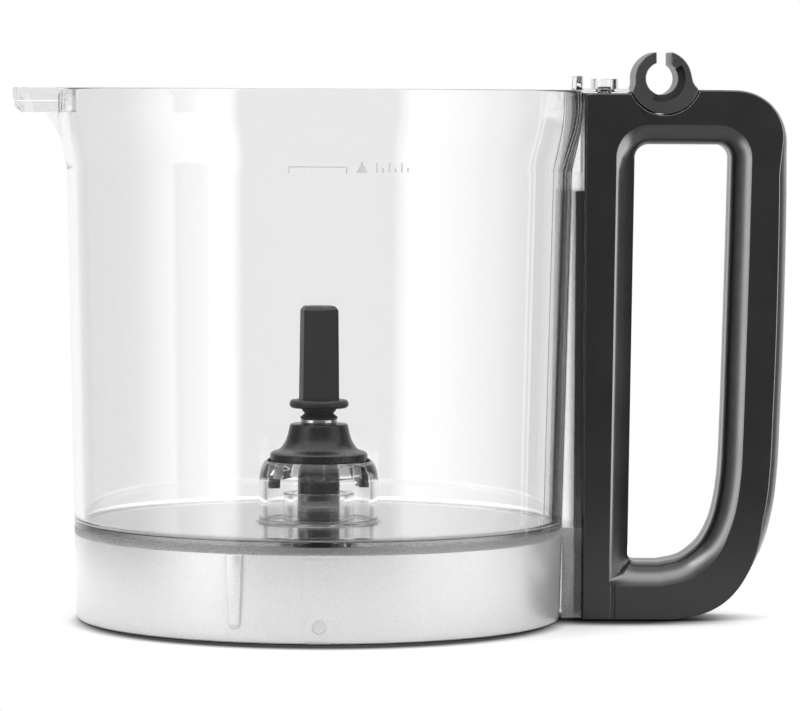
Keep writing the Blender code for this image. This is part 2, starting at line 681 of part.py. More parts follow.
def hex_drive(axis, mat):
    """The hexagonal post the blade sits on, moulded with its round flange."""
    bm = bmesh.new()
    turned(bm, [(0, 75.4), (9.8, 75.4), (HEX_FLANGE_R, 76.1), (HEX_FLANGE_R, 77.5),
                (9.9, HEX_Z[0]), (0, HEX_Z[0])], BELL_STEPS)
    ob = to_object(bm, "hex_drive", axis, mat)
    bm = bmesh.new()
    top = HEX_Z[1]
    levels = [hex_corners(HEX_R[0], HEX_Z[0] - 0.8), hex_corners(HEX_R[1], top - HEX_CHAMFER),
              hex_corners(HEX_R[1] - HEX_CHAMFER, top)]
    rings = [[bm.verts.new(p) for p in level] for level in levels]
    for a, b in zip(rings, rings[1:]):
        for i in range(6):
            bm.faces.new((a[i], a[(i + 1) % 6], b[(i + 1) % 6], b[i]))
    bm.faces.new(rings[0])
    bm.faces.new(rings[-1])
    combine(ob, bm, "UNION", "post")
    bm = bmesh.new()
    cylinder(bm, 0, 0, 74, SHAFT_Z[1] + GAP, SHAFT_R + GAP, 24)
    combine(ob, bm, "DIFFERENCE", "shaft_bore")
    return ob


def coupling(axis, mat):
    """Lower socket that drops over the motor's spindle."""
    low, high = COUPLING_Z
    bm = bmesh.new()
    turned(bm, [(0, low), (COUPLING_R - 0.6, low), (COUPLING_R, low + 0.6),
                (COUPLING_R, high - 0.6), (COUPLING_R - 0.6, high), (0, high)], BELL_STEPS)
    ob = to_object(bm, "drive_coupling", axis, mat)
    bm = bmesh.new()
    prism(bm, [(x, y) for x, y, _ in hex_corners(SOCKET_R, 0)], low - 1, low + SOCKET_DEPTH, "Z")
    combine(ob, bm, "DIFFERENCE", "socket")
    bm = bmesh.new()
    cylinder(bm, 0, 0, SHAFT_Z[0] - GAP, high + 1, SHAFT_R + GAP, 24)
    combine(ob, bm, "DIFFERENCE", "shaft_bore")
    bm = bmesh.new()
    prism(bm, arc((0, PIN_Z), PIN_R + GAP, 0, 360, 12)[:-1], -COUPLING_R - 1, COUPLING_R + 1)
    combine(ob, bm, "DIFFERENCE", "pin_hole")
    return ob


def spindle(axis, mats):
    """Everything that turns with the motor."""
    low, high = SHAFT_Z
    groove = (28.0, 29.4)
    bm = bmesh.new()
    turned(bm, [(0, low), (SHAFT_R - 0.5, low), (SHAFT_R, low + 0.5), (SHAFT_R, groove[0]),
                (3.3, groove[0]), (3.3, groove[1]), (SHAFT_R, groove[1]), (SHAFT_R, high - 0.5),
                (SHAFT_R - 0.5, high), (0, high)], BELL_STEPS)
    shaft = to_object(bm, "drive_shaft", axis, mats["steel"])
    bm = bmesh.new()
    prism(bm, arc((0, PIN_Z), PIN_R + GAP, 0, 360, 12)[:-1], -COUPLING_R, COUPLING_R)
    combine(shaft, bm, "DIFFERENCE", "pin_hole")

    bm = bmesh.new()
    prism(bm, arc((0, PIN_Z), PIN_R, 0, 360, 12)[:-1], -COUPLING_R + 0.5, COUPLING_R - 0.5)
    to_object(bm, "coupling_pin", axis, mats["steel"])

    hex_drive(axis, mats["black"])
    coupling(axis, mats["black"])
    plain_ring("thrust_washer", SHAFT_R + GAP, 8.4, 29.5, 30.2, axis, mats["steel"])
    clip = (arc((0, 0), 6.0, 25, 335, 20) + arc((0, 0), 3.6, 335, 25, 20))
    bm = bmesh.new()
    prism(bm, clip, 28.3, 29.1, "Z")
    to_object(bm, "retaining_clip", axis, mats["steel"])
    plain_ring("seal_washer", SHAFT_R + GAP, 6.3, 70.7, 71.6, axis, mats["steel"])
    bm = bmesh.new()
    bore = SHAFT_R + GAP
    turned(bm, [(bore, 71.9), (6.1, 71.9), (6.1, 72.3), (5.0, 73.3), (4.9, 73.8), (5.9, 74.8),
                (5.9, 75.1), (bore, 75.1)], BELL_STEPS)
    to_object(bm, "shaft_seal", axis, mats["rubber"])


def main():
    clear_scene()
    mats = {
        "black": finish("black_plastic", (0.022, 0.022, 0.024), 0.38),
        "rubber": finish("rubber", (0.012, 0.012, 0.013), 0.7),
        "steel": finish("steel", (0.62, 0.62, 0.63), 0.25, metallic=1.0),
        "bronze": finish("bronze", (0.55, 0.38, 0.2), 0.4, metallic=1.0),
    }
    bowl = empty_at("bowl_axis", 0)
    unit = empty_at("drive_unit_axis", 0)
    spin = empty_at("spindle_axis", 0)
    rod = empty_at("interlock_axis", ROD_X)
    work_bowl(bowl)
    handle_shell("handle_front_shell", -1, bowl, mats["black"])
    handle_shell("handle_rear_shell", 1, bowl, mats["black"])
    handle_screws(bowl, mats["steel"])
    hinge_clip(bowl, mats["black"])
    interlock(bowl, rod, mats["black"], mats["steel"])
    drive_unit(unit, mats)
    spindle(spin, mats)


main()
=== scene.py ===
"""Looks for the work bowl assembly of a food processor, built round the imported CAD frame.

Every piece is made in millimetres from the bowl's own upright axis and is then settled, in
metres, at its place in the shared frame.
"""
import json
import math

import bmesh
import bpy
from mathutils import Matrix, Vector


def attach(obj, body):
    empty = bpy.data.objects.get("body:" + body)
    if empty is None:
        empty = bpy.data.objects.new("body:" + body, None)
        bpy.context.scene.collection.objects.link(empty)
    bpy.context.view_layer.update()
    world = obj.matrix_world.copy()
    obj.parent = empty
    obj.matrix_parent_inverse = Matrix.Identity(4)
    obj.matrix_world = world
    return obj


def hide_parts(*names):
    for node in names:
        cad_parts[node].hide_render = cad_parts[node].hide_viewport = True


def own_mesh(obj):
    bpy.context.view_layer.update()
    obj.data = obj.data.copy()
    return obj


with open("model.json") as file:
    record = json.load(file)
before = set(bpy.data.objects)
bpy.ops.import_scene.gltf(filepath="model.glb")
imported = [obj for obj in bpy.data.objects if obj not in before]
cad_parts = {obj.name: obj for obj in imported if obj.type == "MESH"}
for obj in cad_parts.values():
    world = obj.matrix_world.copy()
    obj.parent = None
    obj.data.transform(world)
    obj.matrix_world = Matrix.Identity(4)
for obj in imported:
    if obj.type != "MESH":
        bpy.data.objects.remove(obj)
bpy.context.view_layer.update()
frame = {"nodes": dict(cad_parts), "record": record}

# ---- Studio -------------------------------------------------------------------------------
# A long lens level with the bowl's rim, tipped slightly down, a small white table and a pale
# room: two tall soft windows to the left and right of the viewer and a dim wall between them.
seat = next(m for m in frame["record"]["mounts"] if m["name"] == "lid_seat")["pos_m"]
AXIS_X = seat[0]
scene = bpy.context.scene
scene.view_settings.view_transform = "Standard"
scene.cycles.max_bounces = 32
scene.cycles.transmission_bounces = 28
scene.cycles.glossy_bounces = 10
scene.cycles.transparent_max_bounces = 24
scene.cycles.caustics_reflective = False
scene.cycles.caustics_refractive = False

lens = bpy.data.cameras.new("studio_camera")
lens.lens = 206.6
lens.sensor_width = 36
lens.clip_end = 50
camera = bpy.data.objects.new("studio_camera", lens)
CAMERA_BACK, CAMERA_LEFT = 1.65, 0.006
camera.location = (AXIS_X - CAMERA_LEFT, -CAMERA_BACK, seat[2])
PAN, TILT, ROLL = (math.radians(angle) for angle in (-1.218, 86.678, 0.28))
aim = Matrix.Rotation(PAN, 4, "Z") @ Matrix.Rotation(TILT, 4, "X")
camera.rotation_euler = (aim @ Matrix.Rotation(ROLL, 4, "Z")).to_euler()
scene.collection.objects.link(camera)
scene.camera = camera


def node_maker(tree):
    """Two short ways with a tree's nodes: give one its inputs, and add one with its inputs."""
    def give(node, *fed, **named):
        for key, value in (*enumerate(fed), *named.items()):
            if isinstance(key, str):
                spaced = key.replace("_", " ")
                if spaced not in node.inputs:
                    setattr(node, key, value)
                    continue
                key = spaced
            if isinstance(value, bpy.types.Node):
                value = next(socket for socket in value.outputs if socket.enabled)
            if isinstance(value, bpy.types.NodeSocket):
                tree.links.new(value, node.inputs[key])
            else:
                node.inputs[key].default_value = value
        return node

    def add(kind, *fed, **named):
        return give(tree.nodes.new(kind), *fed, **named)
    return give, add


def grey(level):
    return (level, level, level, 1)


room = bpy.data.worlds.new("pale_room")
room.use_nodes = True
scene.world = room
room.node_tree.nodes.clear()
give, add = node_maker(room.node_tree)
parts = add("ShaderNodeSeparateXYZ", add("ShaderNodeTexCoord").outputs["Generated"])
flip = add("ShaderNodeMath", parts.outputs["Y"], -1, operation="MULTIPLY")
turn = add("ShaderNodeMath", parts.outputs["X"], flip, operation="ARCTAN2")
round_room = add("ShaderNodeMapRange", turn, From_Min=-math.pi, From_Max=math.pi)
wall_light = add("ShaderNodeValToRGB", round_room)
PEAK = 3.0
stops = [(-180, 1.0), (-150, 1.0), (-135, 0.4), (-100, 0.2), (-86, 0.2), (-66, 1.1), (-52, 1.8),
         (-41, 1.8), (-36.5, 0.15), (38, 0.15), (40.5, 0.92), (60, 1.18), (76, 1.3), (92, 0.9),
         (104, 0.3), (135, 0.45), (150, 1.0), (180, 1.0)]
ramp = wall_light.color_ramp.elements
for index, (angle, light) in enumerate(stops):
    stop = ramp[index] if index < 2 else ramp.new(1.0)
    stop.position = (angle + 180) / 360
    stop.color = grey(light / PEAK)
walls = add("ShaderNodeMath", wall_light, PEAK, operation="MULTIPLY")
height = add("ShaderNodeMapRange", parts.outputs["Z"], interpolation_type="SMOOTHSTEP",
             From_Min=0.45, From_Max=0.8)
ceiling = add("ShaderNodeMix", Factor=height, A=walls, B=2.2)
glow = add("ShaderNodeBackground", Color=grey(1), Strength=ceiling)
add("ShaderNodeOutputWorld", Surface=glow)


def new_finish(name):
    """A node material with its Principled shader, and the two short ways with its nodes."""
    mat = bpy.data.materials.new(name)
    mat.use_nodes = True
    return mat, mat.node_tree.nodes["Principled BSDF"], *node_maker(mat.node_tree)


# The table is white with a painted contact shadow: its colour is near black round the foot of the bowl and
# beside the handle's foot, and painted half dark under the bowl.
# Only camera rays see the painted shadow outside the foot; bounced rays see it white.
table_white_painted_shadow, shader, give, add = new_finish("table_white_painted_shadow")
where = add("ShaderNodeTexCoord").outputs["Object"]
painted_shadows = []
# Painted shadow masks: a dark ring round the foot, set toward the front, and a dark patch beside the
# handle's foot.
for centre, size, start, stop in (((0.0, -0.0135), (1, 1), 0.0805, 0.0905),
                                  ((0.108, -0.012), (0.45, 1), 0.006, 0.021)):
    spot = add("ShaderNodeMapping", where, vector_type="TEXTURE",
               Location=(AXIS_X + centre[0], centre[1], 0), Scale=(1 / size[0], 1 / size[1], 1))
    away = add("ShaderNodeVectorMath", spot, operation="LENGTH")
    painted_shadows.append(add("ShaderNodeMapRange", away, interpolation_type="SMOOTHSTEP",
                       From_Min=start, From_Max=stop))
lit = add("ShaderNodeMath", *painted_shadows, operation="MULTIPLY")
under_bowl = add("ShaderNodeMapping", where, vector_type="TEXTURE", Location=(AXIS_X, 0, 0))
reach = add("ShaderNodeVectorMath", under_bowl, operation="LENGTH")
# Painted half shade under the bowl, inside the foot.
inside = add("ShaderNodeMapRange", reach, From_Min=0.083, From_Max=0.076, To_Max=0.5)
lighter = add("ShaderNodeMath", lit, inside, operation="MAXIMUM")
# Bounced rays see no painted shadow outside the foot.
ray = add("ShaderNodeLightPath")
bounced = add("ShaderNodeMath", 1, ray.outputs["Is Camera Ray"], operation="SUBTRACT")
around = add("ShaderNodeMapRange", reach, From_Min=0.0865, From_Max=0.088)
white_round = add("ShaderNodeMath", bounced, around, operation="MULTIPLY")
seen = add("ShaderNodeMath", lighter, white_round, operation="MAXIMUM")
# The painted shadow's colour: near black in the shade, white elsewhere.
tone = add("ShaderNodeMix", data_type="RGBA", Factor=seen, A=grey(0.02), B=grey(0.94))
give(shader, Roughness=0.9, Base_Color=tone)


def solid(name, shape):
    """An object in the scene made from a bmesh, which is then freed."""
    mesh = bpy.data.meshes.new(name)
    shape.to_mesh(mesh)
    shape.free()
    ob = bpy.data.objects.new(name, mesh)
    scene.collection.objects.link(ob)
    return ob


TABLE_R, TABLE_DROP = 0.28, 0.0002
disc = bmesh.new()
bmesh.ops.create_circle(disc, cap_ends=True, segments=128, radius=TABLE_R)
bmesh.ops.translate(disc, vec=(0, 0, -TABLE_DROP), verts=disc.verts)
table = solid("table", disc)
table.data.materials.append(table_white_painted_shadow)

# Three soft lamps shape the black pieces only: the clear bowl is lit by the room alone.
black_parts = bpy.data.collections.new("black_parts")
REACH = 1.2
LIT_SPOT = Vector((AXIS_X + 0.11, 0, 0.1))
for name, azimuth, elevation, wide, tall, radiance in (("left_strip", -37, 8, 11, 74, 12.0),
                                                      ("right_strip", 56, 8, 44, 74, 8.0),
                                                      ("top_panel", 2, 41, 66, 22, 6.0)):
    a, e = math.radians(azimuth), math.radians(elevation)
    toward = Vector((math.sin(a) * math.cos(e), -math.cos(a) * math.cos(e), math.sin(e)))
    lamp = bpy.data.lights.new(name, "AREA")
    lamp.shape = "RECTANGLE"
    lamp.size = 2 * REACH * math.tan(math.radians(wide / 2))
    lamp.size_y = 2 * REACH * math.tan(math.radians(tall / 2))
    lamp.energy = 4 * radiance * lamp.size * lamp.size_y
    light = bpy.data.objects.new(name, lamp)
    light.location = LIT_SPOT + toward * REACH
    light.rotation_euler = (-toward).to_track_quat("-Z", "Y").to_euler()
    light.visible_camera = False
    light.light_linking.receiver_collection = black_parts
    scene.collection.objects.link(light)

# ---- Work bowl ----------------------------------------------------------------------------
# One clear copolyester moulding: a slightly tapered wall with a flared rim, a floor, and a hub
# collar with four inward lugs. The latch tab, the two webs beside the handle, their top plate
# and the collar for the interlock's rod are moulded with it.
MM = 0.001
RIM_Z, RIM_R, RIM_BAND = 190.0, 94.3, 5.0
FLARE_Z, WALL_R_LOW, WALL_R_FLARE, FOOT_R = 160.4, 87.1, 90.6, 86.2
WALL, SKIRT_WALL, FLOOR_TOP, FLOOR = 3.7, 2.8, 34.7, 4.1
HUB_R, HUB_BORE_R, HUB_TOP = 21.5, 18.8, 56.4
FROST_TOP = 33.4
SLEEVE_R, SLEEVE_BORE_R, SLEEVE_TOP = 12.8, 9.65, 45.0
LUG_R, LUG_LOW, LUG_HIGH, LUG_ANGLE, LUG_START = 13.9, 50.5, 55.2, 44.0, 186.0
ROD_AT = (102.0, 0.0)


def node_group(name, kind, taken, made):
    """A node group with named inputs and outputs: its tree, its two ends and the short ways."""
    tree = bpy.data.node_groups.new(name, kind + "NodeTree")
    for in_out, sockets in (("INPUT", taken), ("OUTPUT", made)):
        for title, socket in sockets:
            tree.interface.new_socket(title, in_out=in_out, socket_type="NodeSocket" + socket)
    give, add = node_maker(tree)
    return tree, add("NodeGroupInput").outputs, add("NodeGroupOutput"), give, add


def shape_nodes(name, **taken):
    """A geometry node group with the given inputs, a finish for it, and a way to end it."""
    inputs = [(title.replace("_", " "), socket) for title, socket in taken.items()]
    tree, given, result, give, add = node_group(name, "Geometry", inputs + [("Finish", "Material")],
                                                [("Shape", "Geometry")])
    tree.is_modifier = True

    def end(shape):
        real = add("GeometryNodeRealizeInstances", shape)
        give(result, add("GeometryNodeSetMaterial", real, Material=given["Finish"]))
        return tree
    return given, add, end


def build_lathe():
    """Geometry nodes that sweep a closed (radius, height) outline round the z axis."""
    given, add, end = shape_nodes("lathe", Outline="Geometry", Steps="Int", Pitch_Radius="Float")
    outline = add("GeometryNodeMeshToCurve", given["Outline"])
    inward = add("ShaderNodeMath", given["Pitch Radius"], -1, operation="MULTIPLY")
    placed = add("GeometryNodeTransform", outline, Translation=add("ShaderNodeCombineXYZ", inward),
                 Scale=(1, -1, 1))
    path = add("GeometryNodeCurvePrimitiveCircle", Resolution=given["Steps"],
               Radius=given["Pitch Radius"])
    return end(add("GeometryNodeCurveToMesh", path, placed))


LATHE = build_lathe()


def bake(ob):
    """Turn what an object's modifiers make into its own plain mesh."""
    bpy.context.view_layer.update()
    view = bpy.context.evaluated_depsgraph_get()
    ob.data = bpy.data.meshes.new_from_object(ob.evaluated_get(view), depsgraph=view)
    ob.modifiers.clear()


def run_nodes(ob, tree, **values):
    """Give an object a geometry node tree with its inputs set by name, and bake the result."""
    mod = ob.modifiers.new(tree.name, "NODES")
    mod.node_group = tree
    for item in tree.interface.items_tree:
        if item.in_out == "INPUT" and item.name in values:
            mod[item.identifier] = values[item.name]
    bake(ob)
    shape = bmesh.new()
    shape.from_mesh(ob.data)
    bmesh.ops.remove_doubles(shape, verts=shape.verts, dist=0.002)
    bmesh.ops.dissolve_degenerate(shape, edges=shape.edges, dist=0.0005)
    bmesh.ops.recalc_face_normals(shape, faces=shape.faces)
    shape.to_mesh(ob.data)
    shape.free()
    return ob


def turned(name, outline, steps, finish):
    """A piece turned from a closed (radius, height) outline."""
    mesh = bpy.data.meshes.new(name)
    count = len(outline)
    edges = [(i, (i + 1) % count) for i in range(count)
             if outline[i][0] > 1e-6 or outline[(i + 1) % count][0] > 1e-6]
    mesh.from_pydata([(r, z, 0) for r, z in outline], edges, [])
    ob = bpy.data.objects.new(name, mesh)
    scene.collection.objects.link(ob)
    return run_nodes(ob, LATHE, **{"Steps": steps, "Pitch Radius": 50.0, "Finish": finish})


def arc(centre, radius, start, stop, steps):
    """Points on an arc, both ends included, from start to stop degrees."""
    span = [math.radians(start + (stop - start) * i / steps) for i in range(steps + 1)]
    return [(centre[0] + radius * math.cos(a), centre[1] + radius * math.sin(a)) for a in span]


def circle(centre, radius, steps):
    """A closed round outline."""
    return arc(centre, radius, 0, 360, steps)[:-1]


def prism(outline, low, high, axis="Y", bevel=0.0, steps=2):
    """A bmesh extruded along y from an (x, z) outline, or along z from an (x, y) outline."""
    shape = bmesh.new()
    if axis == "Y":
        verts = [shape.verts.new((a, low, b)) for a, b in outline]
        move = Vector((0, high - low, 0))
    else:
        verts = [shape.verts.new((a, b, low)) for a, b in outline]
        move = Vector((0, 0, high - low))
    face = shape.faces.new(verts)
    top = bmesh.ops.extrude_face_region(shape, geom=[face])["geom"]
    bmesh.ops.translate(shape, vec=move, verts=[v for v in top if isinstance(v, bmesh.types.BMVert)])
    bmesh.ops.recalc_face_normals(shape, faces=shape.faces)
    if bevel:
        sharp = [e for e in shape.edges if e.calc_face_angle(0) > 0.5]
        bmesh.ops.bevel(shape, geom=sharp, offset=bevel, segments=steps, profile=0.5,
                        affect="EDGES", clamp_overlap=True)
    return shape


def combine(ob, shapes, operation):
    """Join the shapes to the object, or cut it by them."""
    for shape in shapes:
        bmesh.ops.recalc_face_normals(shape, faces=shape.faces)
        helper = solid("helper", shape)
        mod = ob.modifiers.new("combine", "BOOLEAN")
        mod.operation = operation
        mod.solver = "EXACT"
        mod.object = helper
        bake(ob)
        bpy.data.objects.remove(helper, do_unlink=True)


def settle(ob, finish, crease=32.0, x=0.0):
    """Bring a finished piece from millimetres on the bowl axis to its place, in metres."""
    shape = bmesh.new()
    shape.from_mesh(ob.data)
    bmesh.ops.remove_doubles(shape, verts=shape.verts, dist=0.002)
    bmesh.ops.scale(shape, vec=(MM, MM, MM), verts=shape.verts)
    bmesh.ops.translate(shape, vec=(AXIS_X + x * MM, 0, 0), verts=shape.verts)
    shape.to_mesh(ob.data)
    shape.free()
    ob.data.materials.clear()
    ob.data.materials.append(finish)
    for face in ob.data.polygons:
        face.material_index = 0
    ob.data.shade_smooth()
    ob.data.set_sharp_from_angle(angle=math.radians(crease))
    mod = ob.modifiers.new("true_to_large_faces", "WEIGHTED_NORMAL")
    mod.keep_sharp = True
    mod.weight = 80
    bake(ob)
    return ob


def hand_over(ob, body, slot, *nodes):
    """Say which body a piece rides on and which CAD nodes it replaces; the slot, what it is made of, is not
    used.
    """
    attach(ob, body)
    if nodes:
        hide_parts(*nodes)


def wall_radius(z):
    """Outer radius of the bowl: a slight taper, then an S-shaped flare up to the rim band."""
    top = RIM_Z - RIM_BAND
    if z <= FLARE_Z:
        return WALL_R_LOW + (WALL_R_FLARE - WALL_R_LOW) * (z / FLARE_Z)
    t = min((z - FLARE_Z) / (top - FLARE_Z), 1)
    return WALL_R_FLARE + (RIM_R - WALL_R_FLARE) * math.sin(t * math.pi / 2) ** 1.2


def rounded(points, radius, steps=4):
    """A closed outline with each listed corner replaced by a small curve."""
    out = []
    for i, here in enumerate(points):
        size = radius[i] if isinstance(radius, (list, tuple)) else radius
        p, a, b = Vector(here), Vector(points[i - 1]), Vector(points[(i + 1) % len(points)])
        size = min(size, (a - p).length * 0.45, (b - p).length * 0.45)
        if size < 0.02:
            out.append(tuple(p))
            continue
        to_a, to_b = (a - p).normalized(), (b - p).normalized()
        u, v = p + to_a * size, p + to_b * size
        if (a - p).length > size * 2.6:
            out.append(tuple(p + to_a * size * 1.2))
        for k in range(steps + 1):
            t = k / steps
            out.append(tuple(u * (1 - t) ** 2 + p * 2 * t * (1 - t) + v * t * t))
        if (b - p).length > size * 2.6:
            out.append(tuple(p + to_b * size * 1.2))
    return out


def bowl_outline():
    """Wall, floor and hub as one closed outline, from the floor's edge up the outside."""
    flare = [FLARE_Z + (RIM_Z - RIM_BAND - FLARE_Z) * i / 14 for i in range(15)]
    under = FLOOR_TOP - FLOOR
    points = [(wall_radius(under), under, 0.1), (wall_radius(FROST_TOP), FROST_TOP, 0)]
    points += [(wall_radius(95), 95, 0)] + [(wall_radius(z), z, 0) for z in flare]
    points += [(RIM_R, RIM_Z, 0.7)]
    points += [(RIM_R - WALL + 0.3, RIM_Z, 0.6)]
    points += [(wall_radius(z) - WALL, z, 0) for z in reversed(flare)]
    points += [(wall_radius(95) - WALL, 95, 0)]
    points += [(wall_radius(FLOOR_TOP) - WALL, FLOOR_TOP, 1.8)]
    points += [(HUB_R, FLOOR_TOP, 1.2), (HUB_R, 49.5, 0.5), (HUB_R - 0.4, 52.8, 1.0),
               (HUB_R - 1.4, 55.3, 1.0), (HUB_R - 2.3, HUB_TOP, 0.4), (HUB_BORE_R, HUB_TOP, 0.4),
               (HUB_BORE_R, FLOOR_TOP, 0.6), (SLEEVE_R, FLOOR_TOP, 0.6), (SLEEVE_R, SLEEVE_TOP, 0.6),
               (SLEEVE_BORE_R, SLEEVE_TOP, 0.6), (SLEEVE_BORE_R, under, 0.4)]
    return rounded([(r, z) for r, z, _ in points], [s for _, _, s in points])


def ring_sector(r_in, r_out, start, stop, steps):
    """The outline of a piece of a ring, seen along z."""
    return arc((0, 0), r_out, start, stop, steps) + arc((0, 0), r_in, stop, start, steps)


def spine_shapes():
    """Two flat webs that the handle's column sits between, their plate, collar and fin."""
    shapes = []
    slope = RIM_R - WALL + 1.4
    for side in (-1, 1):
        low, high = sorted((side * 12.2, side * 14.2))
        web = [(87.2, 1.2), (94.0, 1.2), (94.0, 189.7), (slope, 189.7), (88.1, FLARE_Z), (84.6, 34.0),
               (84.6, 31.3), (87.2, 31.2)]
        shapes.append(prism(web, low, high))
    plate = [(92.1, 189.2), (110.1, 189.2), (110.1, 190.4), (92.1, 190.4)]
    shapes.append(prism(plate, -14.2, 14.2, bevel=0.25))
    collar = prism(circle(ROD_AT, 4.85, 64), 189.6, 194.0, "Z", bevel=0.35)
    shapes.append(collar)
    fin = prism(ring_sector(91.9, 94.3, -9, 9, 18), RIM_Z - 1.5, 195.0, "Z")
    for v in fin.verts:
        if v.co.z > RIM_Z:
            v.co.y *= 0.88
            v.co.x += 0.5 if v.co.x < 92.5 else 0
    bmesh.ops.bevel(fin, geom=[e for e in fin.edges if e.calc_face_angle(0) > 0.6], offset=0.4,
                    segments=3, profile=0.5, affect="EDGES", clamp_overlap=True)
    shapes.append(fin)
    return shapes


def latch_tab(bowl):
    """The lid's latch tab opposite the handle: two tiers, hollow below, with a gusset."""
    root, reach = RIM_R - 2.0, 109.1
    tiers = ((-reach, 185.2, RIM_Z, 15.0, 0.8), (-reach + 0.4, 181.0, 185.7, 14.4, 2.2))
    tab = [prism([(-root, low), (-root, high), (x, high), (x, low + cut), (x + cut, low)],
                 -half, half, bevel=0.35) for x, low, high, half, cut in tiers]
    combine(bowl, tab, "UNION")
    hollow = [(-reach + 2.4, 170), (-reach + 2.4, 187.8), (-RIM_R - 0.2, 187.8), (-RIM_R - 0.2, 170)]
    combine(bowl, [prism(hollow, -12.4, 12.4)], "DIFFERENCE")
    gusset = [(-root, 172.8), (-root, 188.6), (-reach + 5.0, 188.6), (-reach + 7.0, 181.4),
              (-RIM_R - 3.6, 180.6), (-wall_radius(173), 172.8)]
    combine(bowl, [prism(gusset, -1.0, 1.0, bevel=0.2)], "UNION")


def build_lugs():
    """Geometry nodes that set a number of copies of a lug evenly round the axis."""
    given, add, end = shape_nodes("ring_of_lugs", Lug="Geometry", Count="Int")
    spots = add("GeometryNodeMeshLine", given["Count"], Offset=(0, 0, 0))
    step = add("ShaderNodeMath", math.tau, given["Count"], operation="DIVIDE")
    angle = add("ShaderNodeMath", add("GeometryNodeInputIndex"), step, operation="MULTIPLY")
    turn_by = add("ShaderNodeCombineXYZ", Z=angle)
    return end(add("GeometryNodeInstanceOnPoints", spots, Instance=given["Lug"], Rotation=turn_by))


RING_OF_LUGS = build_lugs()


def ring_of(shape, count, finish):
    """A bmesh with a shape repeated evenly round the axis."""
    ob = solid("lug", shape)
    run_nodes(ob, RING_OF_LUGS, Count=count, Finish=finish)
    ring = bmesh.new()
    ring.from_mesh(ob.data)
    bpy.data.objects.remove(ob, do_unlink=True)
    return ring


def build_grain():
    """Shader group: the fine even grain of a textured mould, as a height and a mottle."""
    made = (("Height", "Scale", 2.0, 0.55, 2500.0), ("Mottle", "Mottle Scale", 4.0, 0.6, 60.0))
    tree, given, result, give, add = node_group(
        "moulded_grain", "Shader", [(size, "Float") for _, size, *_ in made],
        [(height, "Float") for height, *_ in made])
    where = add("ShaderNodeTexCoord").outputs["Object"]
    for output, size, detail, rough, usual in made:
        tree.interface.items_tree[size].default_value = usual
        noise = add("ShaderNodeTexNoise", where, Scale=given[size], Detail=detail, Roughness=rough)
        give(result, **{output: noise})
    return tree


GRAIN = build_grain()


def let_light_through(mat, shader, give, add, share):
    """Let shadow rays pass through a clear surface, weakened to the given share."""
    passed = add("ShaderNodeBsdfTransparent", Color=share)
    ray = add("ShaderNodeLightPath")
    mix = add("ShaderNodeMixShader", ray.outputs["Is Shadow Ray"], shader, passed)
    return give(mat.node_tree.nodes["Material Output"], Surface=mix)


def clear_finish():
    """Polished clear plastic, frosted outside from the floor down and, finely, on the webs; the frosted
    band's colour is speckled by the grain and darkened as painted shade.
    """
    mat, shader, give, add = new_finish("clear_plastic")
    where = add("ShaderNodeTexCoord").outputs["Object"]
    at = add("ShaderNodeMapping", where, Location=(-AXIS_X, 0, 0))
    x, y, z = add("ShaderNodeSeparateXYZ", at).outputs
    flat = add("ShaderNodeVectorMath", at, (1, 1, 0), operation="MULTIPLY")
    reach = add("ShaderNodeVectorMath", flat, operation="LENGTH")
    below = add("ShaderNodeMapRange", z, From_Min=(FROST_TOP + 0.3) * MM,
                From_Max=(FROST_TOP - 0.3) * MM)
    outside = add("ShaderNodeMath", reach, 0.083, operation="GREATER_THAN")
    frost = add("ShaderNodeMath", below, outside, operation="MULTIPLY")
    wall = add("ShaderNodeMapRange", z, From_Min=0.0, From_Max=0.160, To_Min=0.0873, To_Max=0.0908)
    web = add("ShaderNodeMath", reach, wall, operation="GREATER_THAN")
    for value, operation, limit in ((z, "LESS_THAN", FLARE_Z * MM),
                                    (add("ShaderNodeMath", y, operation="ABSOLUTE"),
                                     "GREATER_THAN", 0.0119),
                                    (x, "GREATER_THAN", 0.084)):
        within = add("ShaderNodeMath", value, limit, operation=operation)
        web = add("ShaderNodeMath", web, within, operation="MULTIPLY")
    rough = add("ShaderNodeMath", add("ShaderNodeMapRange", frost, To_Max=0.4),
                add("ShaderNodeMapRange", web, To_Max=0.07), operation="MAXIMUM")
    grain = add("ShaderNodeGroup", node_tree=GRAIN, Scale=2600.0).outputs["Height"]
    depth = add("ShaderNodeMath", frost, add("ShaderNodeMapRange", web, To_Max=0.12),
                operation="MAXIMUM")
    relief = add("ShaderNodeMath", grain, depth, operation="MULTIPLY")
    # Painted shade with grain: the frosted band's colour is set between 0.5 and 1.0 by the grain, speckled
    # and on average a quarter darker, where the floor's edge meets the wall.
    speck = add("ShaderNodeMapRange", grain, From_Min=0.4, From_Max=0.6, To_Min=0.5, To_Max=1.0)
    tone = add("ShaderNodeMix", data_type="RGBA", Factor=frost, A=grey(1), B=speck)
    bump = add("ShaderNodeBump", Strength=0.6, Distance=0.0005, Height=relief)
    give(shader, Base_Color=tone, Roughness=rough, Normal=bump, IOR=1.57, Transmission_Weight=1.0)
    shade = add("ShaderNodeMapRange", frost, To_Min=0.9, To_Max=0.5)
    out = let_light_through(mat, shader, give, add, shade)
    give(out, Volume=add("ShaderNodeVolumeAbsorption", Density=78.0, Color=grey(0.925)))
    return mat


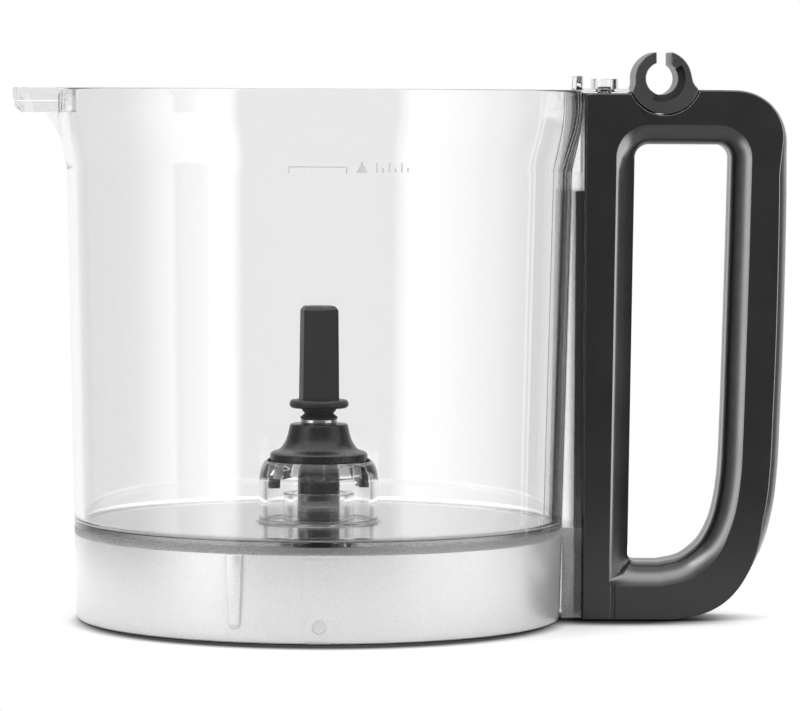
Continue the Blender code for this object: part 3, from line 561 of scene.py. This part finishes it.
CLEAR = clear_finish()
bowl = turned("clear_bowl", bowl_outline(), 224, CLEAR)
combine(bowl, spine_shapes(), "UNION")
combine(bowl, [prism(circle(ROD_AT, 3.45, 64), 187.2, 196.0, "Z")], "DIFFERENCE")
latch_tab(bowl)
lug = prism(ring_sector(LUG_R, HUB_BORE_R + 1.0, LUG_START, LUG_START + LUG_ANGLE, 14),
            LUG_LOW, LUG_HIGH, "Z", bevel=0.3)
combine(bowl, [ring_of(lug, 4, CLEAR)], "UNION")
settle(bowl, CLEAR, crease=28)
hand_over(bowl, "bowl", "clear_plastic",
          "work_bowl", "latch_tab", "pin_plate", "hub_collar", "hub_sleeve")

# ---- Base skirt ---------------------------------------------------------------------------
# The part of the same moulding below the floor, textured outside to a silvery satin, with a
# key rib, a gate panel with its round gate mark, and a notch at the front of the foot.
def skirt_outline():
    """The ring below the floor, a hair's breadth under it."""
    top = FLOOR_TOP - FLOOR - 0.05
    points = [(FOOT_R + 0.5, 0.0), (WALL_R_LOW, 2.0), (wall_radius(top), top),
              (wall_radius(top) - SKIRT_WALL, top), (FOOT_R - SKIRT_WALL, 0.0)]
    return rounded(points, [0.5, 0.8, 0.15, 0.15, 0.4])


def wrapped(outline, r_in, r_out, lean=0.0):
    """A thin shape laid round the front of the wall, from (sideways, height) points."""
    shape = bmesh.new()
    loops = []
    for r in (r_in, r_out):
        loops.append([])
        for u, z in outline:
            a, reach = u / r_out, r + lean * z
            loops[-1].append(shape.verts.new((reach * math.sin(a), -reach * math.cos(a), z)))
    count = len(outline)
    for i in range(count):
        j = (i + 1) % count
        shape.faces.new((loops[0][i], loops[0][j], loops[1][j], loops[1][i]))
    half = count // 2
    for loop in loops:
        for i in range(half - 1):
            shape.faces.new((loop[i], loop[i + 1], loop[count - 2 - i], loop[count - 1 - i]))
    return shape


def band(u0, u1, z0, z1, steps, top=None):
    """A strip's outline in matching pairs, bottom edge then top edge backwards."""
    t0, t1 = top or (u0, u1)
    low = [(u0 + (u1 - u0) * i / steps, z0) for i in range(steps + 1)]
    high = [(t0 + (t1 - t0) * i / steps, z1) for i in range(steps + 1)]
    return low + high[::-1]


def gate_panel():
    """A thin raised panel at the front of the skirt, where the moulding's gate is."""
    taper = (wall_radius(30) - wall_radius(3)) / 27
    panel = band(-5.0, 5.0, 1.4, 29.2, 10, (-5.85, 5.85))
    base = WALL_R_LOW - taper * 3
    return wrapped(panel, base - 0.6, base + 0.38, taper)


def key_rib():
    """A tapering rib on the skirt, a little to the left of the front."""
    centre = math.radians(-109.4)
    along = Vector((math.cos(centre), math.sin(centre), 0))
    across = Vector((-along.y, along.x, 0))
    shape = bmesh.new()
    rows = []
    for z, half, proud in ((4.6, 1.4, -0.7), (5.4, 1.9, 0.8), (6.6, 2.25, 1.5), (13.0, 2.5, 1.6),
                           (19.0, 2.8, 1.7), (25.4, 3.05, 1.8), (29.8, 3.25, 1.85), (30.5, 3.0, 1.5)):
        base, crest = along * (wall_radius(z) - 1.0), along * (wall_radius(z) + proud)
        ring = [base - across * half, crest - across * half * 0.9 - along * 0.45,
                crest - across * half * 0.6, crest + across * half * 0.6,
                crest + across * half * 0.9 - along * 0.45, base + across * half]
        rows.append([shape.verts.new(p + Vector((0, 0, z))) for p in ring])
    for low, high in zip(rows, rows[1:]):
        for i in range(6):
            shape.faces.new((low[i], low[(i + 1) % 6], high[(i + 1) % 6], high[i]))
    shape.faces.new(rows[0])
    shape.faces.new(rows[-1])
    return shape


def satin_skirt_finish():
    """Cloudy silver-grey plastic with a sparkling grain."""
    mat, shader, give, add = new_finish("satin_skirt")
    grain = add("ShaderNodeGroup", node_tree=GRAIN, Scale=2100.0, Mottle_Scale=2600.0)
    mottle = grain.outputs["Mottle"]
    speck = add("ShaderNodeMapRange", mottle, From_Min=0.36, From_Max=0.64)
    tone = add("ShaderNodeMix", data_type="RGBA", Factor=speck, A=grey(0.8), B=grey(0.93))
    sheen = add("ShaderNodeMapRange", mottle, To_Min=0.26, To_Max=0.33)
    bump = add("ShaderNodeBump", Strength=0.08, Distance=0.0003, Height=grain.outputs["Height"])
    give(shader, Base_Color=tone, Metallic=0.5, Roughness=sheen, IOR=1.5, Normal=bump,
         Transmission_Weight=0.4)
    let_light_through(mat, shader, give, add, grey(0.15))
    return mat


SATIN = satin_skirt_finish()
skirt = turned("base_ring", skirt_outline(), 224, SATIN)
combine(skirt, [key_rib(), gate_panel()], "UNION")
notch = [(-4.6, -1.0), (4.6, -1.0), (4.3, 0.8), (-4.3, 0.8)]
gate = prism(circle((0, 6.0), 2.5, 48), -90.0, -86.85)
combine(skirt, [prism(notch, -FOOT_R - 3, -FOOT_R + 0.3), gate], "DIFFERENCE")
settle(skirt, SATIN, crease=28)
hand_over(skirt, "bowl", "clear_plastic", "base_skirt")

# ---- Fill marks ---------------------------------------------------------------------------
# A raised fill line with its end ticks, a small pointer and a row of ticks, moulded on the
# front of the wall just above where its flare starts.
def fill_marks():
    """The fill line with its end ticks, then a small pointer and a row of ticks."""
    shapes = []
    z = 163.2
    marks = [band(-11.2, 9.0, z, z + 0.45, 8), band(-11.2, -10.75, z - 1.9, z, 2),
             band(8.55, 9.0, z - 1.9, z, 2), band(12.0, 16.0, z - 1.7, z + 1.9, 4, (13.9, 14.1))]
    marks += [band(19.0 + 2.2 * k, 19.5 + 2.2 * k, z - 1.6, z + (1.6 if k % 2 == 0 else 0.0), 2)
              for k in range(6)]
    for mark in marks:
        high = sum(p[1] for p in mark) / len(mark)
        base = wall_radius(high)
        shapes.append(wrapped(mark, base + 0.02, base + 0.3, lean=0.0))
    return shapes


joined = bmesh.new()
for shape in fill_marks():
    bmesh.ops.recalc_face_normals(shape, faces=shape.faces)
    mark = bpy.data.meshes.new("mark")
    shape.to_mesh(mark)
    shape.free()
    joined.from_mesh(mark)
    bpy.data.meshes.remove(mark)
marks = solid("fill_marks", joined)
FROST, shader, give, add = new_finish("mark_frost")
give(shader, Base_Color=grey(1), Roughness=0.4, Transmission_Weight=0.5)
settle(marks, FROST, crease=20)
hand_over(marks, "bowl", "clear_plastic")

# ---- Handle -------------------------------------------------------------------------------
# Two hollow halves of satin black plastic that meet on the middle plane, with a soft cove
# round the finger hole, a crowned grip and a tongue held between the bowl's two webs.
HALF_T, SHELL, SPLIT = 14.0, 2.2, 0.15
COLUMN_X, COLUMN_TOP, FOOT_Z, TOP_Z = 94.3, 188.9, 0.4, 190.2
HOLE_CORNER, HOLE_CORNER_R = (114.1, 23.7), 3.0
POCKET, POCKET_R = (122.8, 194.2), 12.9
CROWN = 3.5
SCREWS = ((142.5, 180.3), (156.5, 96.0), (147.0, 19.0), (120.5, 11.6))


def smooth_run(points, steps):
    """Points on a Catmull-Rom curve through the given ones, with its last point left out."""
    knots = [Vector(p) for p in points]
    pts = [2 * knots[0] - knots[1], *knots, 2 * knots[-1] - knots[-2]]
    lengths = [(b - a).length for a, b in zip(knots, knots[1:])]
    run = []
    for i in range(steps):
        want = sum(lengths) * i / steps
        k = 0
        while want > lengths[k] and k < len(lengths) - 1:
            want -= lengths[k]
            k += 1
        t = want / lengths[k]
        a, b, c, d = pts[k:k + 4]
        run.append(tuple(0.5 * (2 * b + (c - a) * t + (2 * a - 5 * b + 4 * c - d) * t * t
                                + (3 * b - a - 3 * c + d) * t ** 3)))
    return run


def handle_outlines(n=4):
    """Matching closed outlines of the handle, outside and finger hole, going clockwise."""
    px, pz = POCKET
    left = math.degrees(math.asin((COLUMN_TOP - pz) / POCKET_R))
    right = math.degrees(math.asin((TOP_Z - pz) / POCKET_R))
    pocket_in = px - POCKET_R * math.cos(math.radians(left))
    pocket_out = px + POCKET_R * math.cos(math.radians(right))
    outer = smooth_run([(COLUMN_X, FOOT_Z), (COLUMN_X, COLUMN_TOP)], 8 * n)
    outer += smooth_run([(COLUMN_X, COLUMN_TOP), (pocket_in, COLUMN_TOP)], 3 * n)
    outer += arc(POCKET, POCKET_R, -180 - left, right, 14 * n)[:-1]
    outer += smooth_run([(pocket_out, TOP_Z), (148.7, TOP_Z)], 3 * n)
    outer += arc((148.7, 171.2), 19.0, 90, 0, 8 * n)[:-1]
    outer += smooth_run([(167.7, 171.2), (167.8, 145), (167.2, 105), (166.3, 75.5)], 8 * n)
    outer += smooth_run([(166.3, 75.5), (165.4, 54), (163.5, 38.5), (159.2, 24.3), (150.6, 10.9),
                         (140.4, 3.4), (128, FOOT_Z)], 13 * n)
    outer += smooth_run([(128, FOOT_Z), (COLUMN_X, FOOT_Z)], 5 * n)
    tl, tr = (117.6, 165.7), (142.1, 165.7)
    cx, cz = HOLE_CORNER
    hole = smooth_run([(cx - HOLE_CORNER_R, cz), (112.6, 165.7)], 8 * n)
    hole += arc(tl, 5.0, 180, 90, 3 * n)[:-1]
    hole += smooth_run([(tl[0], 170.7), (134.0, 170.7)], 14 * n)
    hole += smooth_run([(134.0, 170.7), (tr[0], 170.7)], 3 * n)
    hole += arc(tr, 5.0, 90, 0, 8 * n)[:-1]
    hole += smooth_run([(147.1, 165.7), (146.4, 130), (145.7, 100), (145.1, 75)], 8 * n)
    hole += smooth_run([(145.1, 75), (144.2, 53), (142, 38.9), (138.3, 29.9), (134.2, 25.3),
                        (129.2, 22.2), (122.3, cz - HOLE_CORNER_R)], 13 * n)
    hole += smooth_run([(122.3, cz - HOLE_CORNER_R), (cx, cz - HOLE_CORNER_R)], 3 * n)
    hole += arc(HOLE_CORNER, HOLE_CORNER_R, 270, 180, 2 * n)[:-1]
    return outer, hole


def offset(loop, distances):
    """Move each point of a clockwise loop outwards by its distance, with mitred corners."""
    moved = []
    for i, here in enumerate(loop):
        before, after = Vector(loop[i - 1]), Vector(loop[(i + 1) % len(loop)])
        a = (Vector(here) - before).normalized()
        b = (after - Vector(here)).normalized()
        normal = Vector((-(a.y + b.y), a.x + b.x)).normalized()
        share = max(normal.dot(Vector((-a.y, a.x))), 0.5)
        moved.append(tuple(Vector(here) + normal * distances[i] / share))
    return moved


def crown_at(x, z):
    """How far the near edge of the grip is set in from its widest line."""
    along = min(max((x - 143.0) / 18.0, 0), 1)
    high = min(max((186.0 - z) / 30.0, 0), 1)
    low = min(max((z - 2.0) / 34.0, 0), 1)
    return CROWN * along * min(high + 0.15, 1) * low


def cove_at(x, z):
    """Cove width round the finger hole, and how flat it is: a plain slope on the column side."""
    right, down = HOLE_CORNER[0] - x, HOLE_CORNER[1] - z
    side, base = 6.9, 8.3
    if right > 0.01 and down > 0.01:
        far = math.hypot(right, down)
        across, under = (side + HOLE_CORNER_R) / right, (base + HOLE_CORNER_R) / down
        return far * min(across, under) - far, 1.0 if across < under else 0.0
    if down > 0.01:
        return base, 0.0
    column = min(max((117.0 - x) / 4.0, 0), 1) * min(max((168.5 - z) / 6.0, 0), 1)
    low = min(max((34.0 - z) / 12.0, 0), 1) * (1 - column)
    return 7.0 - 0.1 * column + (base - 7.0) * low, column


SLOPE = [(0, 0), (0.04, 0.05), (0.1, 0.13), (0.2, 0.24), (0.32, 0.37), (0.44, 0.5), (0.56, 0.62),
         (0.68, 0.74), (0.8, 0.86), (0.87, 0.925), (0.92, 0.962), (0.96, 0.985), (1, 1)]


def cove_curve():
    """The round cove, from the hole's wall out to the face, which it meets at a slight edge."""
    run = []
    for k in range(13):
        t = k / 12
        run.append((3 * (1 - t) * t * t * 0.5 + t ** 3,
                    3 * (1 - t) ** 2 * t * 0.5 + 3 * (1 - t) * t * t * 0.83 + t ** 3))
    return run


def shell_sections(side):
    """Loops of one hollow half, in order across its thickness; side is -1 for the front."""
    outer, hole = handle_outlines()
    count = len(outer)
    crown = [crown_at(x, z) for x, z in outer]
    cove = [cove_at(x, z) for x, z in hole]
    face, inner = HALF_T, HALF_T - SHELL
    loops = []

    def add(loop, depths):
        depths = depths if isinstance(depths, list) else [depths] * count
        loops.append([(x, side * d, z) for (x, z), d in zip(loop, depths)])

    add(offset(hole, [0.25] * count), SPLIT)
    add(hole, SPLIT + 0.25)
    for (round_out, round_rise), (slope_out, slope_rise) in zip(cove_curve(), SLOPE):
        outs, rises = [], []
        for width, flat in cove:
            out = round_out * (1 - flat) + slope_out * flat
            rise = round_rise * (1 - flat) + slope_rise * flat
            outs.append(width * out)
            rises.append(face - 7.0 + 7.0 * rise)
        add(offset(hole, outs), rises)
    edge = [0.55 + 0.55 * min(max((97.0 - x) / 2.0, 0), 1) for x, _ in outer]
    for k in range(9):
        a = math.radians(90 * k / 8)
        add(offset(outer, [-c - e * (1 - math.sin(a)) for c, e in zip(crown, edge)]),
            [face - e * (1 - math.cos(a)) for e in edge])
    for depth in (0.86, 0.74, 0.6, 0.45, 0.3, 0.15):
        add(offset(outer, [-c * depth ** 2 for c in crown]), face * depth)
    add(outer, SPLIT + 0.25)
    add(offset(outer, [-0.25] * count), SPLIT)
    add(offset(outer, [-SHELL] * count), SPLIT)
    add(offset(outer, [-SHELL - c * 0.5 for c in crown]), face * 0.6)
    add(offset(outer, [-SHELL - c * 0.85 for c in crown]), inner)
    add(offset(hole, [6.3] * count), inner)
    add(offset(hole, [SHELL + 1.4] * count), face - 4.8)
    add(offset(hole, [SHELL] * count), face - 8.0)
    add(offset(hole, [SHELL] * count), SPLIT)
    return loops


def grained(name, scale, mottle_scale, dark, light, sheen, relief):
    """A finish whose colour and sheen wander with the mottle, with the grain's fine relief."""
    mat, shader, give, add = new_finish(name)
    grain = add("ShaderNodeGroup", node_tree=GRAIN, Scale=scale, Mottle_Scale=mottle_scale)
    mottle, (strength, distance) = grain.outputs["Mottle"], relief
    tone = add("ShaderNodeMix", data_type="RGBA", Factor=mottle, A=dark, B=light)
    rough = add("ShaderNodeMapRange", mottle, To_Min=sheen[0], To_Max=sheen[1])
    bump = add("ShaderNodeBump", Strength=strength, Distance=distance, Height=grain.outputs["Height"])
    give(shader, Base_Color=tone, Roughness=rough, Normal=bump)
    return mat, shader


def satin_finish(name, level, roughness, scale, strength, spread=0.04):
    """Moulded black plastic or rubber: a fine grain, with a sheen that wanders slightly."""
    return grained(name, scale, 60.0, grey(level * 0.86), grey(level * 1.14),
                   (roughness - spread, roughness + spread), (strength, 0.0002))[0]


HANDLE_BLACK = satin_finish("handle_black", 0.0035, 0.25, 3200.0, 0.05)
for piece_name, node, side in (("handle_front_half", "handle_front_shell", -1),
                               ("handle_rear_half", "handle_rear_shell", 1)):
    shape = bmesh.new()
    rings = [[shape.verts.new(p) for p in loop] for loop in shell_sections(side)]
    for a, b in zip(rings, rings[1:] + rings[:1]):
        for i in range(len(a)):
            j = (i + 1) % len(a)
            shape.faces.new((a[i], a[j], b[j], b[i]))
    bmesh.ops.recalc_face_normals(shape, faces=shape.faces)
    half = solid(piece_name, shape)
    low, high = sorted((side * SPLIT, side * 11.9))
    tongue = prism([(91.3, 3), (95.5, 3), (95.5, 154), (91.3, 154)], low, high, bevel=0.3)
    posts = [prism(circle(p, 3.6, 24), *sorted((side * SPLIT, side * 10.8))) for p in SCREWS]
    combine(half, [tongue, *posts], "UNION")
    depth = HALF_T - 4.0 if side < 0 else HALF_T + 2
    cuts = [prism(circle(p, 1.5, 20), *sorted((-side * 1.0, side * depth))) for p in SCREWS]
    if side > 0:
        cuts += [prism(circle(p, 3.0, 40), 10.7, HALF_T + 2) for p in SCREWS]
    else:
        lip, floor_y = 0.5, -HALF_T + 0.9
        groove = [(104.4, -HALF_T - 0.5)] + arc((104.4, -HALF_T + lip), lip, -90, 0, 7)
        groove += [(104.9, floor_y), (106.3, floor_y)] + arc((106.8, -HALF_T + lip), lip, 180, 270, 7)
        cuts.append(prism(groove + [(106.8, -HALF_T - 0.5)], -0.5, 12.9, "Z"))
    cuts += [prism(circle(ROD_AT, 4.0, 32), low, high, "Z") for low, high in ((-0.8, 5.4), (184.7, 190.9))]
    combine(half, cuts, "DIFFERENCE")
    settle(half, HANDLE_BLACK, crease=13)
    black_parts.objects.link(half)
    hand_over(half, "bowl", "handle_plastic", node)

# ---- Handle screws ------------------------------------------------------------------------
# Four zinc-plated thread-forming screws with cross recesses, driven in from the rear half
# through its posts into the front half's, which hold the two halves together.
def steel_finish(name, colour, roughness, streak=0.0):
    """Bright metal with faint turning marks."""
    dark, light = [c * 0.9 for c in colour], [min(c * 1.08, 1) for c in colour]
    mat, shader = grained(name, 900.0, 140.0, (*dark, 1), (*light, 1),
                          (roughness * 0.75, roughness * 1.3), (0.04 + streak, 0.0001))
    shader.inputs["Metallic"].default_value = 1.0
    return mat


ZINC = steel_finish("zinc_plate", (0.58, 0.58, 0.57), 0.28)
screw_outline = rounded([(0, -9.7), (0.5, -9.7), (1.2, -8.2), (1.2, 11.0), (2.7, 11.0),
                         (2.7, 12.2), (1.9, 13.0), (0, 13.0)],
                        [0, 0, 0.2, 0, 0.15, 0.5, 0.5, 0])
for number, (x, z) in enumerate(SCREWS, 1):
    screw = turned(f"zinc_screw_{number}", screw_outline, 40, ZINC)
    recess = [prism([(-a, -b), (a, -b), (a, b), (-a, b)], 11.9, 14.0, "Z")
              for a, b in ((1.6, 0.3), (0.3, 1.6))]
    combine(screw, recess, "DIFFERENCE")
    stand = Matrix.Translation((x, 0, z)) @ Matrix.Rotation(-math.pi / 2, 4, "X")
    screw.data.transform(stand)
    settle(screw, ZINC)
    hand_over(screw, "bowl", "steel", f"handle_screw_{number}")

# ---- Lid hinge clip -----------------------------------------------------------------------
# An open C of black plastic on a round boss let into the top of the handle; the lid's hinge
# pin snaps in through its mouth, and the sunk arc on its near face stops the lid's swing.
CLIP_HOLE, CLIP_HOLE_R, CLIP_RING, CLIP_RING_R = (121.8, 194.2), 5.85, (122.2, 193.9), 10.1
CLIP_SLOT, CLIP_FLAT_X, CLIP_HALF_T = (119.7, 125.1), 112.2, 14.6
boss_r = POCKET_R - 0.3
low = math.degrees(math.asin((COLUMN_TOP + 0.4 - POCKET[1]) / boss_r))
high = math.degrees(math.asin((TOP_Z - POCKET[1]) / boss_r))
slot_in, slot_out = CLIP_SLOT
lip_out, lip_in, flat_at = (math.degrees(math.acos((x - CLIP_RING[0]) / CLIP_RING_R))
                            for x in (slot_out + 0.7, slot_in - 0.7, CLIP_FLAT_X + 0.02))
mouth_out, mouth_in = (math.degrees(math.acos((x - CLIP_HOLE[0]) / CLIP_HOLE_R))
                       for x in (slot_out, slot_in))
clip_outline = arc(POCKET, boss_r, -180 - low, high, 64)
clip_outline += [(134.5, 190.7), (133.5, 191.8), (132.8, 193.0), (132.4, 194.6)]
clip_outline += arc(CLIP_RING, CLIP_RING_R, 10, lip_out, 24)
clip_outline += [(slot_out + 0.15, CLIP_RING[1] + CLIP_RING_R - 0.45),
                 (slot_out, CLIP_RING[1] + CLIP_RING_R - 1.0)]
clip_outline += arc(CLIP_HOLE, CLIP_HOLE_R, mouth_out, mouth_in - 360, 72)
clip_outline += [(slot_in, CLIP_RING[1] + CLIP_RING_R - 1.0),
                 (slot_in - 0.15, CLIP_RING[1] + CLIP_RING_R - 0.45)]
clip_outline += arc(CLIP_RING, CLIP_RING_R, lip_in, flat_at, 20)
clip_outline += [(CLIP_FLAT_X, 192.0)]
shape = prism(clip_outline, -CLIP_HALF_T, CLIP_HALF_T)
rim_edges = [e for e in shape.edges if abs(e.verts[0].co.y - e.verts[1].co.y) < 1e-6]
bmesh.ops.bevel(shape, geom=rim_edges, offset=0.3, segments=3, profile=0.5, affect="EDGES")
clip = solid("lid_hinge_clip", shape)
stop = arc(CLIP_HOLE, 8.3, -116, 36, 48) + arc(CLIP_HOLE, 4.3, 36, -116, 32)
combine(clip, [prism(stop, -CLIP_HALF_T - 1, -CLIP_HALF_T + 4.0)], "DIFFERENCE")
CLIP_BLACK = satin_finish("clip_black", 0.006, 0.34, 2800.0, 0.06)
settle(clip, CLIP_BLACK, crease=30)
black_parts.objects.link(clip)
hand_over(clip, "bowl", "handle_plastic", "hinge_clip")

# ---- Lid interlock ------------------------------------------------------------------------
# A black acetal rod inside the handle's column, which the closed lid presses down against a
# stainless spring; a plate across the column guides its lower end.
DRIVE_BLACK = satin_finish("drive_black", 0.007, 0.45, 1500.0, 0.22)
rod_outline = rounded([(0, 7), (2.5, 7), (2.5, 52), (4.3, 52), (4.3, 54.5), (2.5, 54.5),
                       (2.5, 191.2), (0, 191.2)], [0, 0.6, 0, 0.3, 0.3, 0, 0.8, 0])
rod = settle(turned("interlock_push_rod", rod_outline, 48, DRIVE_BLACK), DRIVE_BLACK, x=ROD_AT[0])
hand_over(rod, "interlock", "drive_plastic", "interlock_rod")

plate_outline = [(96.8, -11.5), (110.2, -11.5), (110.2, 11.5), (96.8, 11.5)]
guide = solid("rod_guide", prism(plate_outline, 9.5, 13.5, "Z", bevel=0.35))
combine(guide, [prism(circle(ROD_AT, 2.8, 40), 8, 15, "Z")], "DIFFERENCE")
settle(guide, DRIVE_BLACK)
hand_over(guide, "bowl", "drive_plastic", "rod_guide_plate")


def build_coil():
    """Geometry nodes for a compression spring."""
    given, add, end = shape_nodes("spring_coil", Own_Shape="Geometry", Turns="Float",
                                  Radius="Float", Height="Float", Wire_Radius="Float")
    coil = add("GeometryNodeCurveSpiral", Resolution=36, Rotations=given["Turns"],
               Start_Radius=given["Radius"], End_Radius=given["Radius"], Height=given["Height"])
    wire = add("GeometryNodeCurvePrimitiveCircle", Resolution=14, Radius=given["Wire Radius"])
    return end(add("GeometryNodeCurveToMesh", coil, wire, Fill_Caps=True))


SPRING_STEEL = steel_finish("spring_steel", (0.5, 0.5, 0.5), 0.25)
spring = bpy.data.objects.new("return_spring", bpy.data.meshes.new("return_spring"))
scene.collection.objects.link(spring)
run_nodes(spring, build_coil(), **{"Turns": 10.0, "Radius": 3.7, "Height": 37.0,
                                   "Wire Radius": 0.42, "Finish": SPRING_STEEL})
spring.data.transform(Matrix.Translation((0, 0, 14.25)))
settle(spring, SPRING_STEEL, crease=60, x=ROD_AT[0])
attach(spring, "bowl")
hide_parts("interlock_spring")
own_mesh(spring)

# ---- Bearing housing ----------------------------------------------------------------------
# A black bell with a stem that drops into the hub's sleeve, sealed by an O-ring; four hooks
# under the flange lock below the hub's lugs when the unit is twisted home.
BELL_BLACK = satin_finish("bell_black", 0.003, 0.27, 2200.0, 0.08)
bell_outline = [(6.1, 69.8), (9.6, 69.8), (10.3, 69.5), (10.6, 68.9), (10.75, 68.0), (10.9, 67.2),
                (11.15, 66.0), (11.6, 64.6), (12.05, 63.4), (12.7, 62.3), (13.3, 61.4), (14.0, 60.7),
                (14.8, 60.25), (15.6, 60.0), (16.4, 59.75), (17.0, 59.4), (17.45, 58.95), (17.6, 58.3),
                (17.6, 56.6), (17.4, 55.9), (17.0, 55.5), (14.4, 55.5), (13.4, 57.6), (11.4, 60.6),
                (9.9, 64.2), (8.8, 65.6), (7.6, 65.2), (7.6, 34.8), (7.9, 34.6), (9.0, 34.6), (9.2, 34.4),
                (9.2, 33.5), (7.85, 33.5), (7.85, 31.7), (9.2, 31.7), (9.2, 30.8), (8.9, 30.5), (6.1, 30.5)]
housing = turned("bearing_bell", bell_outline, 128, BELL_BLACK)
leg = prism(ring_sector(14.6, 18.3, LUG_START - 10.5, LUG_START - 1.5, 6), 47.0, 57.1, "Z")
hook = prism(ring_sector(14.6, 18.3, LUG_START - 10.5, LUG_START + 16.5, 16), 46.8, 50.2, "Z", bevel=0.25)
combine(housing, [ring_of(leg, 4, BELL_BLACK), ring_of(hook, 4, BELL_BLACK)], "UNION")
settle(housing, BELL_BLACK, crease=30)
hand_over(housing, "drive_unit", "drive_plastic", "bearing_housing")

RUBBER = satin_finish("seal_rubber", 0.012, 0.6, 2500.0, 0.1)
BRONZE = steel_finish("sintered_bronze", (0.5, 0.33, 0.16), 0.42, 0.1)
STEEL = steel_finish("bright_steel", (0.66, 0.66, 0.66), 0.16)
plain = {
    "upper_bush": ("bearing_bush_upper", [(4.1, 61), (5.8, 61), (5.8, 70), (4.1, 70)], BRONZE,
                   "bronze", "drive_unit"),
    "lower_bush": ("bearing_bush_lower", [(4.1, 31), (5.8, 31), (5.8, 39), (4.1, 39)], BRONZE,
                   "bronze", "drive_unit"),
    "housing_o_ring": ("stem_o_ring", circle((8.75, 32.6), 0.6, 16), RUBBER,
                       "rubber", "drive_unit"),
    "thrust_washer": ("thrust_ring", [(4.3, 29.5), (8.4, 29.5), (8.4, 30.2), (4.3, 30.2)], STEEL,
                      "steel", "spindle"),
    "seal_washer": ("dome_washer", [(4.3, 70.1), (6.7, 70.1), (6.7, 71.3), (4.3, 71.3)], STEEL,
                    "steel", "spindle"),
    "shaft_seal": ("lip_seal", [(4.3, 71.5), (6.6, 71.5), (6.8, 72.0), (5.4, 73.2), (5.2, 73.6),
                                (6.1, 74.4), (6.1, 75.1), (4.3, 75.1)], RUBBER, "rubber", "spindle"),
}
for node, (piece_name, outline, finish, slot, body) in plain.items():
    if len(outline) < 10:
        outline = rounded(outline, 0.16)
    ring = settle(turned(piece_name, outline, 96, finish), finish)
    hand_over(ring, body, slot, node)

# ---- Spindle ------------------------------------------------------------------------------
# A steel shaft with the grained black hexagonal post pressed on its top end, and below the
# floor the black socket that drops over the motor's spindle, pinned through and clipped.
HEX_TURN = 42.0


def hex_corners(radius, z):
    return [(radius * math.cos(math.radians(HEX_TURN + 60 * k)),
             radius * math.sin(math.radians(HEX_TURN + 60 * k)), z) for k in range(6)]


flange = rounded([(0, 75.4), (9.8, 75.4), (10.6, 76.1), (10.6, 77.5), (9.9, 78.3), (0, 78.3)],
                 [0, 0.3, 0.4, 0.5, 0.3, 0])
post = turned("hex_post", flange, 96, DRIVE_BLACK)
shape = bmesh.new()
levels = [hex_corners(7.7, 77.5), hex_corners(7.3, 110.7), hex_corners(5.9, 112.1)]
rings = [[shape.verts.new(p) for p in level] for level in levels]
for a, b in zip(rings, rings[1:]):
    for i in range(6):
        shape.faces.new((a[i], a[(i + 1) % 6], b[(i + 1) % 6], b[i]))
shape.faces.new(rings[0])
shape.faces.new(rings[-1])
bmesh.ops.recalc_face_normals(shape, faces=shape.faces)
keen = [e for e in shape.edges if max(v.co.z for v in e.verts) > 78]
bmesh.ops.bevel(shape, geom=keen, offset=0.35, segments=3, profile=0.5, affect="EDGES")
combine(post, [shape], "UNION")
combine(post, [prism(circle((0, 0), 4.3, 48), 74, 100.3, "Z")], "DIFFERENCE")
settle(post, DRIVE_BLACK, crease=30)
hand_over(post, "spindle", "drive_plastic", "hex_drive")

shaft_outline = rounded([(0, 18.5), (4, 18.5), (4, 28), (3.3, 28), (3.3, 29.4), (4, 29.4), (4, 100),
                         (0, 100)], [0, 0.5, 0, 0, 0, 0, 0.5, 0])
shaft = turned("spindle_shaft", shaft_outline, 96, STEEL)
combine(shaft, [prism(circle((0, 22.6), 1.55, 32), -9.2, 9.2)], "DIFFERENCE")
settle(shaft, STEEL)
hand_over(shaft, "spindle", "steel", "drive_shaft")

socket_outline = rounded([(0, 5), (9.2, 5), (9.2, 27.8), (0, 27.8)], [0, 0.7, 0.7, 0])
socket = turned("motor_socket", socket_outline, 96, DRIVE_BLACK)
combine(socket, [prism([(x, y) for x, y, _ in hex_corners(6.3, 0)], 4, 16, "Z"),
                 prism(circle((0, 0), 4.3, 48), 18.2, 28.8, "Z"),
                 prism(circle((0, 22.6), 1.55, 32), -10.2, 10.2)], "DIFFERENCE")
settle(socket, DRIVE_BLACK)
hand_over(socket, "spindle", "drive_plastic", "drive_coupling")

for node in ("coupling_pin", "retaining_clip"):
    piece = frame["nodes"][node]
    piece.data.materials.clear()
    piece.data.materials.append(STEEL)
